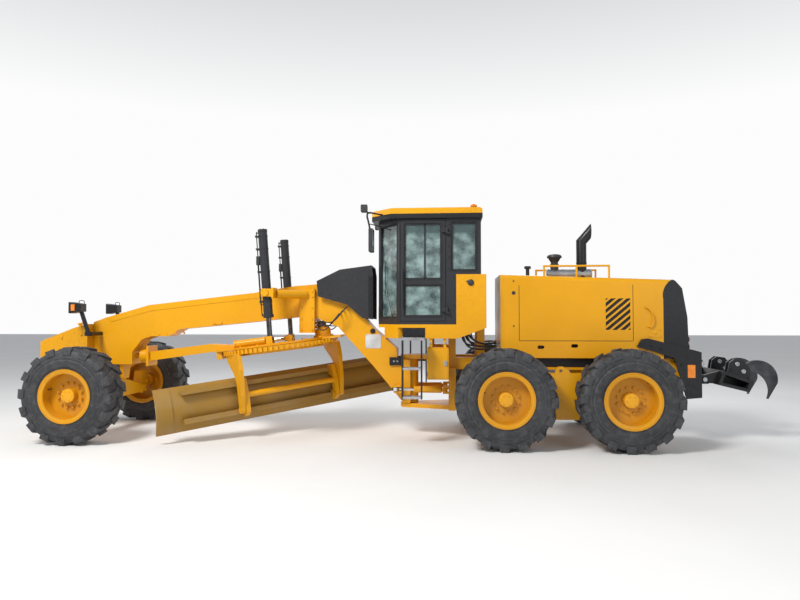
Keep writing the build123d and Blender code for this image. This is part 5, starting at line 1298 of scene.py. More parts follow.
    def fittings(self) -> None:
        """Builds the beacon, mirrors and small lamps in place of their CAD solids."""
        foot = rear(*self.beacon)
        base = Shape().lathe(self.beacon_foot, foot, UP, 40)
        base_piece = base.made("beacon_foot", Finish.PLASTIC, self.body, 0.001)
        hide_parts("roof_fittings")
        lens = Shape().lathe(self.beacon_lens, foot, UP)
        for across, aside in around(self.beacon_ribs):
            rib = foot + Vector((across, aside, 0)) * 0.0445
            lens.bar(rib + UP * 0.021, rib + UP * 0.05, 0.0022, steps=6)
        lens.made("beacon_lens", Finish.AMBER, self.body, 0.0)
        arms, housings, mirrors, lenses = Shape(), Shape(), Shape(), Shape()
        for _, side, _ in SIDES:
            corner, knee = rear(2.33, side * 0.55, 3.11), rear(2.6, side * 0.88, 3.11)
            low = rear(2.545, side * 0.9, 2.86)
            bend = knee + (corner - knee).normalized() * 0.05
            turned = knee + (low - knee).normalized() * 0.05
            arms.tube([corner, (corner + bend) / 2, bend, turned, (knee + low) / 2, low], 0.0125)
            arms.tube([rear(2.29, side * 0.62, 2.9), rear(2.42, side * 0.76, 2.93),
                       rear(2.548, side * 0.885, 2.95)], 0.007)
            housings.block(rear(2.502, side * 0.8, 2.57), rear(2.56, side * 0.99, 2.88))
            housings.bar(rear(2.545, side * 0.9, 2.84), low, 0.02)
            mirrors.block(rear(2.5005, side * 0.812, 2.582), rear(2.503, side * 0.978, 2.868))
            housings.block(rear(2.59, side * 0.8, 3.115), rear(2.674, side * 0.9, 3.215))
            lenses.block(rear(2.674, side * 0.808, 3.123), rear(2.68, side * 0.892, 3.207))
            housings.bar(knee, knee + Vector((0.01, 0, 0.012)), 0.018)
        arms.made("mirror_arms", Finish.BLACK, self.body, 0.0)
        housings.made("mirror_housings", Finish.PLASTIC, self.body, 0.016, segments=4)
        mirrors.made("mirror_faces", Finish.MIRROR, self.body, 0.001)
        lenses.made("work_lamp_lenses", Finish.CLEAR, self.body, 0.002)

    def build(self) -> None:
        """Builds all of the cab's trim."""
        for part in (self.doors, self.windows, self.roof, self.fittings):
            part()
        log.info("cab: door glass, seals, wipers, roof lip, hatch, beacon, mirrors and caps")


# Front frame
@dataclass
class FrontTrim:
    """Fittings of the front frame, its lamps and the lift cylinders' yokes."""

    body: str = "front_body"
    half: float = 0.165
    lamp: Point = (4.885, 0.5, 1.8375)
    lamp_ribs: int = 9
    bezel: Section = ((-0.093, -0.08), (0.093, -0.08), (0.093, 0.08), (-0.093, 0.08))
    guard: Section = ((-0.072, 0.052), (-0.055, 0.098), (0.0, 0.104), (0.055, 0.098), (0.072, 0.052))
    neck_plate: Section = (
        (2.08, 2.078), (2.24, 2.062), (3.12, 1.962), (3.88, 1.878), (4.5, 1.704), (4.5, 1.63),
        (3.86, 1.8), (3.11, 1.885), (2.24, 1.984), (2.2, 2.03), (2.08, 2.042))
    neck_bolts: Section = ((3.5, 1.46), (3.62, 1.452), (3.74, 1.452))
    lug_x: Span = (2.8, 2.9)
    knob: Section = ((0.038, 0.0), (0.038, 0.012), (0.03, 0.02), (0.0, 0.021))
    switch_x: Span = (2.235, 2.285)
    tag_x: Span = (2.487, 2.688)
    tag_z: Span = (1.262, 1.44)
    trunnion: Point = (4.04, 0.705, 2.04)
    trunnion_cap: Section = ((0.056, -0.001), (0.056, 0.012), (0.05, 0.018), (0.0, 0.02))
    saddle_bolts: Section = (
        (1.42, 1.52), (1.42, 1.68), (1.42, 1.84), (1.42, 2.0), (1.42, 2.08), (1.582, 1.52),
        (1.582, 1.68), (1.582, 1.84))
    block_bolts: Section = ((4.85, 1.15), (4.85, 1.45), (5.15, 1.15), (5.15, 1.4))
    tow_pin: Section = (
        (0.026, 0.0), (0.026, 0.05), (0.04, 0.055), (0.04, 0.07), (0.03, 0.078), (0.0, 0.08))

    def lamps(self) -> None:
        """Builds the lens, bezel and amber turn lamp of each head lamp."""
        lenses, bezels, ambers = Shape(), Shape(), Shape()
        x, beside, z = self.lamp
        for _, side, _ in SIDES:
            middle = front(x, side * beside, z)
            lenses.block(middle + Vector((-0.004, -0.08, -0.066)), middle + Vector((0.006, 0.08, 0.066)))
            for index in range(self.lamp_ribs):
                y = -0.072 + index * 0.018
                lenses.block(middle + Vector((0.005, y - 0.003, -0.062)),
                             middle + Vector((0.0075, y + 0.003, 0.062)))
            bezels.gasket([middle + Vector((0, y, up)) for y, up in self.bezel], AHEAD, 0.015, 0.009)
            ambers.block(middle + Vector((-0.085, side * 0.08, -0.046)),
                         middle + Vector((-0.03, side * 0.104, 0.046)))
            bezels.tube([middle + Vector((-0.135, y, up)) for y, up in self.guard], 0.005)
        lenses.made("head_lamp_lenses", Finish.CLEAR, self.body, 0.002)
        bezels.made("head_lamp_bezels", Finish.PLASTIC, self.body, 0.001)
        ambers.made("turn_lamp_lenses", Finish.AMBER, self.body, 0.005, segments=3)

    def neck(self) -> None:
        """Builds the doubler plates, pads, blank tag and switch box of the neck."""
        plates, tags, boxes, switches = Shape(), Shape(), Shape(), Shape()
        for _, side, out in SIDES:
            y = side * self.half
            plates.plate([front(x, y, z) for x, z in self.neck_plate], Vector((0, side * 0.006, 0)))
            plates.block(front(2.78, y, 1.592), front(2.92, y + side * 0.012, 1.64))
            for x in self.lug_x:
                plates.bolt(front(x, y + side * 0.012, 1.616), out, 0.02, 0.009)
            for x, z in self.neck_bolts:
                plates.bolt(front(x, y, z), out, 0.022, 0.01)
            boxes.block(rear(2.18, y, 1.008), rear(2.35, y + side * 0.03, 1.122))
            boxes.lathe(self.knob, rear(2.595, y, 1.5), out, 32)
            for x in self.switch_x:
                switches.disc(rear(x, y + side * 0.03, 1.066), out, 0.014, 0.01)
            tags.block(rear(2.475, y, 1.25), rear(2.7, y + side * 0.004, 1.452))
            for x in self.tag_x:
                for z in self.tag_z:
                    switches.bolt(rear(x, y + side * 0.004, z), out, 0.01, 0.004)
        plates.made("neck_plates", Finish.YELLOW, self.body)
        boxes.made("switch_boxes", Finish.BLACK, self.body, 0.003)
        switches.made("switch_knobs", Finish.STEEL, self.body, 0.0006)
        tags.made("blank_tags", Finish.BLANK, self.body, 0.002)

    def yokes(self) -> None:
        """Builds the trunnion caps, the saddle's bolts and the cover's bolted strips."""
        caps, strips = Shape(), Shape()
        x, beside, z = self.trunnion
        for _, side, out in SIDES:
            middle = rear(x, side * beside, z)
            caps.lathe(self.trunnion_cap, middle, out, 36)
            for across, up in around(4, 0.5):
                caps.bolt(middle + Vector((across * 0.036, side * 0.018, up * 0.036)), out, 0.013, 0.007)
            for bolt_x, bolt_z in self.saddle_bolts:
                caps.bolt(front(bolt_x, side * 0.235, bolt_z), out, 0.026, 0.014)
            strips.block(front(0.54, side * 0.26, 1.7), front(0.6, side * 0.265, 2.29))
            for index in range(6):
                strips.bolt(front(0.57, side * 0.265, 1.74 + index * 0.1), out, 0.016, 0.008)
            for index in range(4):
                strips.bolt(front(0.92 + index * 0.12, side * 0.26, 1.95 + index * 0.034), out, 0.014, 0.006)
        caps.made("saddle_caps", Finish.YELLOW, self.body, 0.001)
        strips.made("cover_strips", Finish.BLACK, self.body, 0.001)

    def block(self) -> None:
        """Builds the bolted face and tow pin of the front block."""
        face = Shape()
        for _, side, out in SIDES:
            for x, z in self.block_bolts:
                face.bolt(front(x, side * 0.33, z), out, 0.03, 0.016)
        face.lathe(self.tow_pin, front(5.05, 0, 1.54), (0.24, 0, 0.97), 28)
        face.made("front_block_bolts", Finish.YELLOW, self.body, 0.001)

    def build(self) -> None:
        """Builds all of the front frame's trim."""
        for part in (self.lamps, self.neck, self.yokes, self.block):
            part()
        log.info("front frame: lamps, plates, tags, trunnion caps and bolts")


# Lift cylinders
@dataclass
class LiftLines:
    """Steel lines, clamps, gland and end cap of one lift cylinder."""

    name: str
    side: int
    top: float = -0.89
    radius: float = 0.064
    hinge: Point = (4.04, 0.6, 2.04)
    toward: Point = (3.99, 0.6, 1.4)
    lines: tuple[Point, ...] = ((-0.014, -0.85, 0.3), (0.014, -0.47, 0.16))
    clamps: tuple[float, ...] = (-0.8, -0.62, -0.3, 0.12)

    def along(self, far: float, ahead: float = 0.0, aside: float = 0.0) -> Vector:
        """Point along the cylinder.

        Args:
            far: Distance from the trunnion toward the rod's eye.
            ahead: Distance forward of the cylinder's line.
            aside: Distance to the left of it.

        Returns:
            The point in the machine's frame.
        """
        hinge, toward = (rear(x, self.side * y, z) for x, y, z in (self.hinge, self.toward))
        run = (toward - hinge).normalized()
        return hinge + run * far + Vector((-run.z, 0, run.x)) * ahead + Vector((0, aside, 0))

    def build(self) -> None:
        """Builds the lines and collars on the barrel."""
        body, at, radius = "lift_barrel_body_" + self.name, self.along, self.radius
        run = (at(1.0) - at(0.0)).normalized()
        lines, collars = Shape(), Shape()
        for aside, start, end in self.lines:
            stations = ((start, 0.06), (start, 0.082), (start + 0.03, 0.094), ((start + end) / 2, 0.094),
                        (end - 0.03, 0.094), (end, 0.08), (end, 0.056))
            lines.tube([at(far, ahead, aside) for far, ahead in stations], 0.0075, smooth=5)
        for far in self.clamps:
            collars.ring([(radius - 0.001, -0.01), (radius + 0.004, -0.01), (radius + 0.004, 0.01),
                          (radius - 0.001, 0.01)], at(far), run, 40)
            collars.block(at(far - 0.012, 0.062, -0.03), at(far + 0.012, 0.106, 0.03))
        collars.block(at(-0.52, 0.06, -0.03), at(-0.4, 0.116, 0.03))
        collars.ring([(radius - 0.001, 0.3), (radius + 0.01, 0.303), (radius + 0.01, 0.343),
                      (radius - 0.001, 0.348)], at(0.0), run, 44)
        collars.lathe([(radius + 0.003, -0.004), (radius + 0.003, 0.03), (radius - 0.002, 0.034)],
                      at(self.top), run, 44)
        for across, aside in around(6):
            out = Vector((-run.z, 0, run.x)) * across + Vector((0, 1, 0)) * aside
            collars.bolt(at(self.top) - run * 0.003 + out * 0.044, -run, 0.016, 0.009)
        lines.made("lift_lines_" + self.name, Finish.HOSE, body, 0.0)
        collars.made("lift_collars_" + self.name, Finish.CHARCOAL, body, 0.0012)


# Blade group
@dataclass
class BladeTrim:
    """Bolts, end bits and wear parts of the blade, and fittings of the drawbar."""

    left_end: float = 1.896
    right_end: float = -2.066
    bit_length: float = 0.19
    bit_low: float = -0.925
    bit_step: float = 0.0375
    bit_steps: int = 10
    bit_bolts: tuple[float, ...] = (-0.86, -0.76, -0.66, -0.58)
    bit_face: float = 0.012
    bit_back: float = -0.002
    bolt_step: float = 0.152
    bolt_start: float = 0.12
    edge_slope: Span = (0.8775, 0.4796)
    arc_radius: float = 0.478
    arc_ahead: float = 0.438
    arc_up: float = -0.644

    def board(self, up: float, raised: float = 0.0) -> Span:
        """Point on the blade's hollow face.

        Args:
            up: Distance along the circle's axis.
            raised: Distance out of the face.

        Returns:
            The point as (ahead, up).
        """
        ahead = self.arc_ahead - math.sqrt(self.arc_radius ** 2 - (up - self.arc_up) ** 2)
        out = Vector((self.arc_ahead - ahead, self.arc_up - up)).normalized()
        return ahead + out.x * raised, up + out.y * raised

    def facing(self, up: float) -> Vector:
        """Direction out of the blade's hollow face.

        Args:
            up: Distance along the circle's axis.

        Returns:
            The direction, of length 1.
        """
        ahead, _ = self.board(up)
        out = PLACE.blade_ahead * (self.arc_ahead - ahead) + PLACE.ring_up * (self.arc_up - up)
        return out.normalized()

    def bits(self) -> None:
        """Builds the end bits and the rows of plough bolts."""
        bits, bolts, run = Shape(), Shape(), PLACE.blade_left
        levels = [self.bit_low + index * self.bit_step for index in range(self.bit_steps + 1)]
        faces, backs = ([PLACE.blade(ahead, 0, up) for ahead, up in (self.board(up, raised) for up in levels)]
                        for raised in (self.bit_face, self.bit_back))
        for inner, outer in ((self.left_end - self.bit_length, self.left_end),
                             (self.right_end + self.bit_length, self.right_end)):
            for outline in zip(faces, faces[1:], backs[1:], backs):
                bits.plate([point + run * min(inner, outer) for point in outline], run * abs(outer - inner))
            for up in self.bit_bolts:
                ahead, level = self.board(up, self.bit_face)
                for share in (0.25, 0.75):
                    foot = PLACE.blade(ahead, inner + (outer - inner) * share, level)
                    bolts.lathe([(0.017, 0.0), (0.015, 0.005), (0.0, 0.008)], foot, self.facing(up), 16)
        count = int((self.left_end - self.right_end - 0.2) / self.bolt_step)
        slope = (PLACE.blade_ahead * self.edge_slope[0] + PLACE.ring_up * self.edge_slope[1]).normalized()
        for index in range(count + 1):
            left = self.right_end + self.bolt_start + index * self.bolt_step
            bolts.lathe([(0.016, 0.0), (0.014, 0.004), (0.0, 0.007)], PLACE.blade(0.0412, left, -0.8605),
                        slope, 16)
        bits.made("end_bits", Finish.YELLOW, "blade_body")
        bolts.made("edge_bolts", Finish.EDGE, "blade_body", 0.0)

    def build(self) -> None:
        """Builds the blade group's trim."""
        self.bits()
        DrawbarTrim().build()
        for name, side, _ in SIDES:
            LiftLines(name, side).build()
        log.info("blade group: end bits, bolts, circle drive, brackets and cylinder lines")


@dataclass
class DrawbarTrim:
    """Circle drive, brackets, front shoes and side-shift cylinder on the drawbar."""

    body: str = "drawbar_body"
    drive_x: float = -0.64
    housing: Section = (
        (0.15, 0.0), (0.15, 0.018), (0.118, 0.024), (0.118, 0.12), (0.104, 0.132), (0.074, 0.136),
        (0.074, 0.15), (0.0, 0.15))
    housing_bolts: int = 10
    bracket_x: Span = (0.8, 0.94)
    bracket: Section = ((-0.03, 0.062), (0.03, 0.062), (0.018, 0.13), (-0.018, 0.13))
    shoe: Section = ((0.868, -0.075), (0.95, -0.075), (0.95, 0.04), (0.868, 0.04))
    shoe_y: Span = (-0.11, 0.11)
    ring_bolts: int = 12
    ring_radius: float = 0.665
    motor: Section = ((0.062, 0.0), (0.062, 0.055), (0.052, 0.06), (0.052, 0.092), (0.0, 0.094))
    cylinder: Span = (0.25, 0.116)
    collar: Section = ((0.055, -0.012), (0.064, -0.01), (0.064, 0.01), (0.055, 0.012))
    collar_x: Span = (0.17, 0.61)

    def at(self, x: float, y: float, z: float) -> Vector:
        """Point measured from the circle's middle in the drawbar's own directions."""
        return PLACE.ring + self.ahead() * x + Vector((0, y, 0)) + PLACE.ring_up * z

    def ahead(self) -> Vector:
        """Direction forward along the drawbar."""
        along = PLACE.ring_up.cross(Vector((0, 1, 0))).normalized()
        return -along if along.x < 0 else along

    def build(self) -> None:
        """Builds the drive housing, pin brackets, front shoes, motor and cylinder."""
        at, ahead, up = self.at, self.ahead(), PLACE.ring_up
        drive = Shape().lathe(self.housing, at(self.drive_x, 0.0, 0.066), up)
        for across, aside in around(self.housing_bolts):
            drive.bolt(at(self.drive_x, 0.0, 0.084) + (ahead * across + Vector((0, aside, 0))) * 0.134, up,
                       0.02, 0.012)
        for x in self.bracket_x:
            for y in (-0.045, 0.045):
                drive.plate([at(x + far, y - 0.008, z) for far, z in self.bracket], (0, 0.016, 0))
            drive.bar(at(x, -0.062, 0.108), at(x, 0.062, 0.108), 0.012, steps=16)
        for y in self.shoe_y:
            drive.plate([at(x, y - 0.045, z) for x, z in self.shoe], (0, 0.09, 0))
        for across, aside in around(self.ring_bolts, 0.5):
            drive.bolt(at(across * self.ring_radius, aside * self.ring_radius, 0.066), up, 0.026, 0.014)
        drive.made("circle_drive", Finish.YELLOW, self.body)
        motor = Shape().lathe(self.motor, at(self.drive_x, 0.0, 0.214), up, 32)
        port, reach = at(self.drive_x, 0.0, 0.262), Vector((0.02, 0.072, 0.018))
        motor.block(port - reach, port + reach).made("circle_motor", Finish.CAST, self.body)
        shift, (y, z) = Shape(), self.cylinder
        for far in self.collar_x:
            shift.ring(self.collar, at(far, y, z), ahead, 36)
        shift.made("side_cylinder_collars", Finish.YELLOW, self.body, 0.001)
        rod = Shape().bar(at(0.175, y, z), at(-0.15, y, z), 0.026, steps=28)
        rod.made("side_cylinder_rod", Finish.ROD, self.body, 0.002)
        eye = Shape().bar(at(-0.18, 0.215, z), at(-0.18, 0.285, z), 0.045, steps=28)
        eye.block(at(-0.23, 0.205, 0.062), at(-0.13, 0.217, 0.15))
        eye.block(at(-0.23, 0.283, 0.062), at(-0.13, 0.295, 0.15))
        eye.made("side_cylinder_eye", Finish.YELLOW, self.body, 0.002)


# Steps, boxes and ripper
@dataclass
class StepTrim:
    """Bright treads, box lids and latches beside the cab."""

    body: str = "rear_body"
    treads: tuple[tuple[float, float, float, float], ...] = (
        (1.866, 2.1, 0.85, 0.64), (1.866, 2.1, 0.85, 1.019), (1.815, 2.154, 0.722, 1.407))
    out: float = 1.0
    row_step: float = 0.034
    stud_step: float = 0.03
    edge_studs: int = 10
    tread_half: float = 0.015

    def tread(self, treads: Shape, side: int, back: float, ahead: float, inner: float, z: float) -> None:
        """Adds one tread with raised studs on its top and its edge.

        Args:
            treads: The mesh to add to.
            side: Which side of the machine it is on.
            back: Its rear end.
            ahead: Its front end.
            inner: Its inner edge's distance from the middle.
            z: Height of its middle.
        """
        treads.block(rear(back - 0.002, side * inner, z - self.tread_half),
                     rear(ahead + 0.002, side * (self.out + 0.002), z + self.tread_half))
        for row in range(int((self.out - inner) / self.row_step)):
            for column in range(int((ahead - back) / self.stud_step)):
                x = back + 0.016 + column * self.stud_step + (row % 2) * 0.012
                if x < ahead - 0.008:
                    foot = rear(x, side * (inner + 0.018 + row * self.row_step), z + self.tread_half)
                    treads.bar(foot, foot + UP * 0.004, 0.007, 0.005, 8)
        for index in range(self.edge_studs):
            x = back + (ahead - back) * (index + 0.5) / self.edge_studs
            treads.bar(rear(x, side * (self.out + 0.001), z), rear(x, side * (self.out + 0.004), z),
                       0.006, 0.004, 8)

    def build(self) -> None:
        """Builds treads with raised studs, lids and latches."""
        treads, lids, latches = Shape(), Shape(), Shape()
        for _, side, out in SIDES:
            for sizes in self.treads:
                self.tread(treads, side, *sizes)
            lids.block(rear(1.512, side * 0.72, 0.868), rear(1.778, side * 0.725, 1.268))
            lids.block(rear(1.512, side * 0.48, 1.28), rear(1.778, side * 0.712, 1.288))
            for z in (0.93, 1.2):
                latches.bar(rear(1.788, side * 0.724, z - 0.03), rear(1.788, side * 0.724, z + 0.03), 0.008)
            latches.block(rear(1.52, side * 0.725, 1.04), rear(1.56, side * 0.737, 1.11))
            latches.disc(rear(1.54, side * 0.737, 1.092), out, 0.01, 0.005)
            for x in (1.545, 1.745):
                latches.bolt(rear(x, side * 0.7, 1.345), out, 0.022, 0.012)
        treads.made("step_treads", Finish.STEEL, self.body)
        lids.made("box_lids", Finish.YELLOW, self.body, 0.003)
        latches.made("box_latches", Finish.STEEL, self.body, 0.001)
        log.info("steps: treads, lids and latches")


@dataclass
class RipperTrim:
    """Pins, bolts, reflectors and plugs of the ripper."""

    tines: Span = (-0.285, 0.285)
    plate: float = 0.0585
    face: float = 0.536
    pins: Section = ((-2.42, 1.06), (-2.5, 0.96))
    pin: Section = (
        (0.031, -0.001), (0.031, 0.012), (0.027, 0.016), (0.014, 0.016), (0.012, 0.01), (0.0, 0.01))
    clamp_bolts: Section = ((-2.565, 0.875), (-2.345, 0.985))
    frame_pins: tuple[Point, ...] = ((-1.947, 1.063, 0.034), (-1.985, 0.85, 0.032))
    plugs: tuple[Point, ...] = ((-1.706, 1.178, 0.02), (-1.706, 0.804, 0.018), (-1.105, 1.345, 0.02))
    bolts: Section = ((-1.62, 1.06), (-1.55, 1.11), (-1.35, 1.27), (-1.22, 1.31))

    def build(self) -> None:
        """Builds the ripper's trim."""
        pins, tips, frame_pins, reflectors, plugs = Shape(), Shape(), Shape(), Shape(), Shape()
        for tine in self.tines:
            for x, z in self.pins:
                for way in (-1, 1):
                    pins.lathe(self.pin, rear(x, tine + way * self.plate, z), (0, way, 0), 28)
            for way in (-1, 1):
                for x, z in self.clamp_bolts:
                    tips.bolt(rear(x, tine + way * self.plate, z), (0, way, 0), 0.024, 0.012)
        for _, side, out in SIDES:
            face = side * self.face
            for x, z, radius in self.frame_pins:
                frame_pins.lathe([(radius, -0.002), (radius, 0.012), (radius * 0.85, 0.016), (0.0, 0.016)],
                                 rear(x, side * 0.36, z), out, 28)
            reflectors.block(rear(-1.795, face, 0.885), rear(-1.695, face + side * 0.005, 1.058))
            for x, z, radius in self.plugs:
                plugs.disc(rear(x, face, z), out, radius, 0.004)
            for x, z in self.bolts:
                plugs.bolt(rear(x, face, z), out, 0.026, 0.014)
        pins.made("tine_pins", Finish.STEEL, "ripper_body", 0.001)
        tips.made("clamp_bolts", Finish.BLACK, "ripper_body", 0.001)
        frame_pins.made("ripper_pins", Finish.STEEL, "rear_body", 0.001)
        reflectors.made("side_reflectors", Finish.AMBER, "rear_body", 0.002)
        plugs.made("ripper_plugs", Finish.BLACK, "rear_body", 0.001)
        log.info("ripper: pins, bolts, reflectors and plugs")


# Seat
@dataclass
class Pad:
    """Stuffed part of the seat, swollen inside its cover, with sewn channels."""

    node: str
    channels: tuple[float, ...] = (-0.115, 0.115)
    channel_width: float = 0.008
    channel_depth: float = 0.007
    voxel: float = 0.009
    rounding: int = 6
    shrink: float = 0.01
    swell: float = 0.013
    pressure: float = 4.0
    frames: int = 20

    def swollen(self, piece: Piece) -> None:
        """Swells the piece by pressure and caps how far each point moves.

        Args:
            piece: The remeshed pad.
        """
        cloth = piece.modifiers.new("swell", "CLOTH")
        cloth.settings.use_pressure = True
        cloth.settings.uniform_pressure_force = self.pressure
        cloth.settings.effector_weights.gravity = 0.0
        cloth.point_cache.frame_end = self.frames
        scene = bpy.context.scene
        for number in range(1, self.frames + 1):
            scene.frame_set(number)
        after = evaluated(piece).to_mesh()
        places = [vertex.co.copy() for vertex in after.vertices]
        piece.modifiers.remove(cloth)
        for vertex, place in zip(piece.data.vertices, places):
            move = place - vertex.co
            if move.length > self.swell:
                move *= self.swell / move.length
            vertex.co += move
        scene.frame_set(1)

    def build(self) -> None:
        """Builds the pad in place of its CAD solid."""
        low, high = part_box(self.node)
        middle, size = (low + high) / 2, high - low
        piece = added(self.node + "_pad", frame["nodes"][self.node].data.copy())
        for vertex in piece.data.vertices:
            for axis in range(3):
                share = 1 - 2 * self.shrink / size[axis]
                vertex.co[axis] = middle[axis] + (vertex.co[axis] - middle[axis]) * share
        remesh = piece.modifiers.new("even", "REMESH")
        remesh.mode = "VOXEL"
        remesh.voxel_size = self.voxel
        piece.modifiers.new("round", "SMOOTH").iterations = self.rounding
        piece.data = bpy.data.meshes.new_from_object(evaluated(piece))
        piece.modifiers.clear()
        self.swollen(piece)
        for vertex in piece.data.vertices:
            share = max(math.exp(-((vertex.co.y - channel) / self.channel_width) ** 2)
                        for channel in self.channels)
            vertex.co += (middle - vertex.co).normalized() * self.channel_depth * share
        piece.data.materials.clear()
        piece.data.materials.append(Finish.CLOTH.material)
        for face in piece.data.polygons:
            face.use_smooth = True
        finer = piece.modifiers.new("finer", "SUBSURF")
        finer.levels = finer.render_levels = 1
        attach(piece, "rear_body")
        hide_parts(self.node)


@dataclass
class Interior:
    """Padded seat, wheel grip and console tops."""

    wheel: Point = (2.09, 0, 2.39)
    wheel_tilt: Point = (-0.5, 0, 0.87)
    wheel_radius: float = 0.192
    grip_radius: float = 0.017
    levers: int = 4
    lever: Section = ((0.018, 0.0), (0.015, 0.012), (0.012, 0.03), (0.0, 0.032))

    def build(self) -> None:
        """Builds what is inside the cab."""
        for node in ("seat_cushion", "seat_back"):
            Pad(node).build()
        grips, tops = Shape(), Shape()
        middle, tilt = rear(*self.wheel), Vector(self.wheel_tilt).normalized()
        grips.ring([(self.wheel_radius + across * self.grip_radius, 0.013 + up * self.grip_radius)
                    for across, up in around(10)], middle, tilt, 64)
        grips.disc(middle + tilt * 0.026, tilt, 0.048, 0.012)
        for _, side, _ in SIDES:
            tops.block(rear(1.58, side * 0.372, 2.149), rear(2.04, side * 0.508, 2.156))
            for index in range(self.levers):
                tops.lathe(self.lever, rear(1.8 + index * 0.06, side * 0.44, 2.154), UP, 16)
        grips.made("wheel_grip", Finish.PLASTIC, "rear_body", 0.0)
        tops.made("console_tops", Finish.CHARCOAL, "rear_body", 0.001)
        log.info("interior: padded seat, wheel grip and console tops")


# Hoses
@dataclass
class HoseRun:
    """Flexible hose on a smooth line, with a crimped fitting at each end."""

    name: str
    points: tuple[Vector, ...]
    diameter: float
    body: str

    def build(self) -> None:
        data = bpy.data.curves.new(self.name, "CURVE")
        data.dimensions = "3D"
        data.resolution_u = 10
        spline = data.splines.new("NURBS")
        spline.points.add(len(self.points) - 1)
        for place, point in zip(self.points, spline.points):
            point.co = (*place, 1.0)
        spline.order_u = 3
        spline.use_endpoint_u = True
        piece = added(self.name, data)
        line = bpy.data.meshes.new_from_object(evaluated(piece))
        bpy.data.meshes.remove(line)
        data.bevel_depth = self.diameter / 2
        data.bevel_resolution = 4
        data.use_fill_caps = True
        data.materials.append(Finish.HOSE.material)
        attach(piece, self.body)
        tuple(self.points[0])
        ends = Shape()
        for end, nearby in ((self.points[0], self.points[1]), (self.points[-1], self.points[-2])):
            run = (nearby - end).normalized()
            ends.bar(end - run * 0.004, end + run * 0.018, self.diameter * 0.78, steps=6)
            ends.bar(end + run * 0.016, end + run * 0.05, self.diameter * 0.6)
        ends.made(self.name + "_ends", Finish.STEEL, self.body, 0.0008)


@dataclass
class FloorHoses:
    """Hydraulic hoses between the cab's floor and the front of the hood."""

    prefix: str = "floor_hose"
    body: str = "rear_body"
    diameter: float = 0.026
    runs: tuple[Point, ...] = ((1.3, 0.6, 1.27), (1.245, 0.555, 1.305), (1.19, 0.51, 1.34))

    def route(self, x: float, y: float, z: float) -> tuple[Point, ...]:
        """Points that shape one hose on the left side.

        Args:
            x: Where it leaves the floor, measured from the tandem pivots.
            y: Its distance to the left there.
            z: Height of its lowest run.

        Returns:
            The points, from the floor to the hood.
        """
        return ((x, y, 1.5555), (x, y, 1.5), (x - 0.002, y, 1.425), (x - 0.05, y - 0.01, z + 0.025),
                (x - 0.19, y - 0.03, z - 0.016), (0.9, y - 0.1, z), (0.83, y - 0.11, z),
                (0.785, y - 0.11, z))

    def build(self) -> None:
        """Builds three hoses on each side."""
        for name, side, _ in SIDES:
            for index, run in enumerate(self.runs):
                points = tuple(rear(x, side * y, z) for x, y, z in self.route(*run))
                HoseRun(f"{self.prefix}_{name}_{index + 1}", points, self.diameter, self.body).build()
        log.info("%s: %d hoses", self.prefix, 2 * len(self.runs))


@dataclass
class NeckHoses(FloorHoses):
    """Thin hoses from the neck's side plates to the back of the lift saddle."""

    prefix: str = "neck_hose"
    body: str = "front_body"
    diameter: float = 0.016
    runs: tuple[Point, ...] = ((2.97, 1.845, 1.64), (3.02, 1.8, 1.585), (3.07, 1.755, 1.53))
    plate: float = 0.165
    wall: float = 0.2
    saddle: float = 3.44

    def route(self, x: float, high: float, low: float) -> tuple[Point, ...]:
        """Points that shape one hose on the left side.

        Args:
            x: Where it leaves the neck's plate, measured from the tandem pivots.
            high: Its height there.
            low: Its height at the saddle.

        Returns:
            The points, from the plate to the saddle.
        """
        y, wall, end = self.plate, self.wall, self.saddle
        return ((x, y, high), (x, y + 0.1, high), (x + 0.03, y + 0.165, high - 0.05),
                (x + 0.1, y + 0.17, high - 0.14), (x + 0.2, y + 0.14, low - 0.025),
                (end - 0.09, wall + 0.025, low - 0.003), (end - 0.04, wall, low), (end, wall, low))


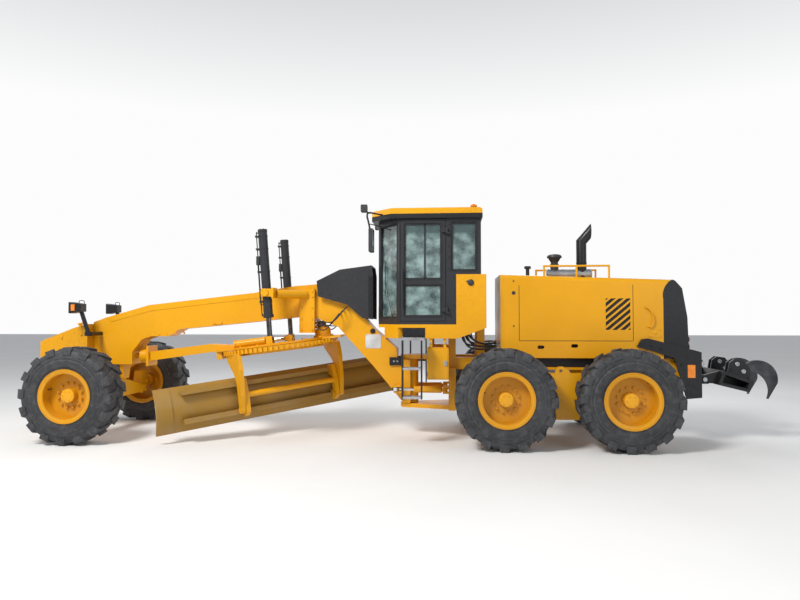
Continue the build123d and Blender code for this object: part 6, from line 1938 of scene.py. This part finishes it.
# Studio
@dataclass
class Studio:
    """Camera, lights and floor."""

    focal_mm: float = 28.52
    sensor_mm: float = 36.0
    camera_at: Point = (1.5207, 9.3185, 1.6667)
    yaw: float = 0.074
    pitch: float = 0.0308
    floor_size: float = 120.0
    horizon: Span = (0.3, 0.62)
    sky_tones: tuple[Point, Point] = ((1.0, 1.0, 1.0), (0.42, 0.44, 0.47))
    sky_strength: tuple[float, float, float, float] = (-0.05, 0.35, 0.98, 0.5)
    lamps: tuple[tuple[str, Point, Point, float, float, Point], ...] = (
        ("key", (5.5, 8.5, 10.5), (0, 0, 1.0), 3.4, 1680.0, (1.0, 0.98, 0.94)),
        ("fill", (-8.0, 9.0, 5.0), (0, 0, 1.2), 7.0, 200.0, (0.94, 0.97, 1.0)),
        ("back", (-2.0, -9.0, 8.0), (0, 0, 1.2), 6.0, 350.0, (1.0, 1.0, 1.0)),
    )

    def placed(self, data: bpy.types.ID, place: Coords, look: Vector) -> Piece:
        """Hangs a camera or a light.

        Args:
            data: The camera or light.
            place: Where it hangs.
            look: Direction that it points in.

        Returns:
            The new object.
        """
        thing = added(data.name, data)
        thing.location = place
        thing.rotation_euler = look.to_track_quat("-Z", "Y").to_euler()
        return thing

    def camera(self) -> None:
        """Sets the camera beside the machine, looking at its left side."""
        data = bpy.data.cameras.new("camera")
        data.lens = self.focal_mm
        data.sensor_width = self.sensor_mm
        look = Vector((math.sin(self.yaw) * math.cos(self.pitch), -math.cos(self.yaw) * math.cos(self.pitch),
                       math.sin(self.pitch)))
        bpy.context.scene.camera = self.placed(data, rear(*self.camera_at), look)

    def sky(self) -> None:
        """Makes a pale sky, weaker on the camera's side."""
        world = bpy.data.worlds.new("pale_sky")
        world.use_nodes = True
        tree = world.node_tree
        background = tree.nodes["Background"]
        where, split, tone, side = (tree.nodes.new("ShaderNode" + kind) for kind in (
            "TexCoord", "SeparateXYZ", "ValToRGB", "MapRange"))
        for element, position, colour in zip(tone.color_ramp.elements, self.horizon, self.sky_tones):
            element.position = position
            element.color = (*colour, 1.0)
        for socket, number in zip(("From Min", "From Max", "To Min", "To Max"), self.sky_strength):
            side.inputs[socket].default_value = number
        for source, target in (
                (where.outputs["Generated"], split.inputs[0]), (split.outputs[2], tone.inputs[0]),
                (tone.outputs[0], background.inputs["Color"]), (split.outputs[1], side.inputs["Value"]),
                (side.outputs["Result"], background.inputs["Strength"])):
            tree.links.new(source, target)
        bpy.context.scene.world = world

    def floor(self) -> None:
        """Lays the pale floor."""
        bpy.ops.mesh.primitive_plane_add(size=self.floor_size, location=(0, 0, 0))
        floor = bpy.context.object
        floor.name = "floor"
        pale = Graph("pale_floor")
        pale.colour(pale.blend(pale.ramp(pale.noise(0.6, 3), 0.3, 0.7), (0.8, 0.8, 0.8), (0.84, 0.84, 0.84)))
        pale.set(Roughness=0.8)
        floor.data.materials.append(pale.material)

    def build(self) -> None:
        """Sets the camera, the sky, the floor and the lights."""
        bpy.context.scene.view_settings.view_transform = "Standard"
        self.camera()
        self.sky()
        self.floor()
        for name, place, aim, size, watts, tone in self.lamps:
            data = bpy.data.lights.new(name, "AREA")
            data.size = size
            data.energy = watts
            data.color = tone
            self.placed(data, place, Vector(aim) - Vector(place))
        log.info("studio: camera, sky, floor and %d lights", len(self.lamps))


def main() -> None:
    """Builds every class in order."""
    logging.basicConfig(level=logging.INFO, format="%(name)s %(message)s")
    for part in (Studio(), BodyWork(), Wheels(), HoodTrim(), CabTrim(), FrontTrim(), BladeTrim(), StepTrim(),
                 RipperTrim(), Interior(), FloorHoses(), NeckHoses()):
        part.build()


if __name__ == "__main__":
    main()
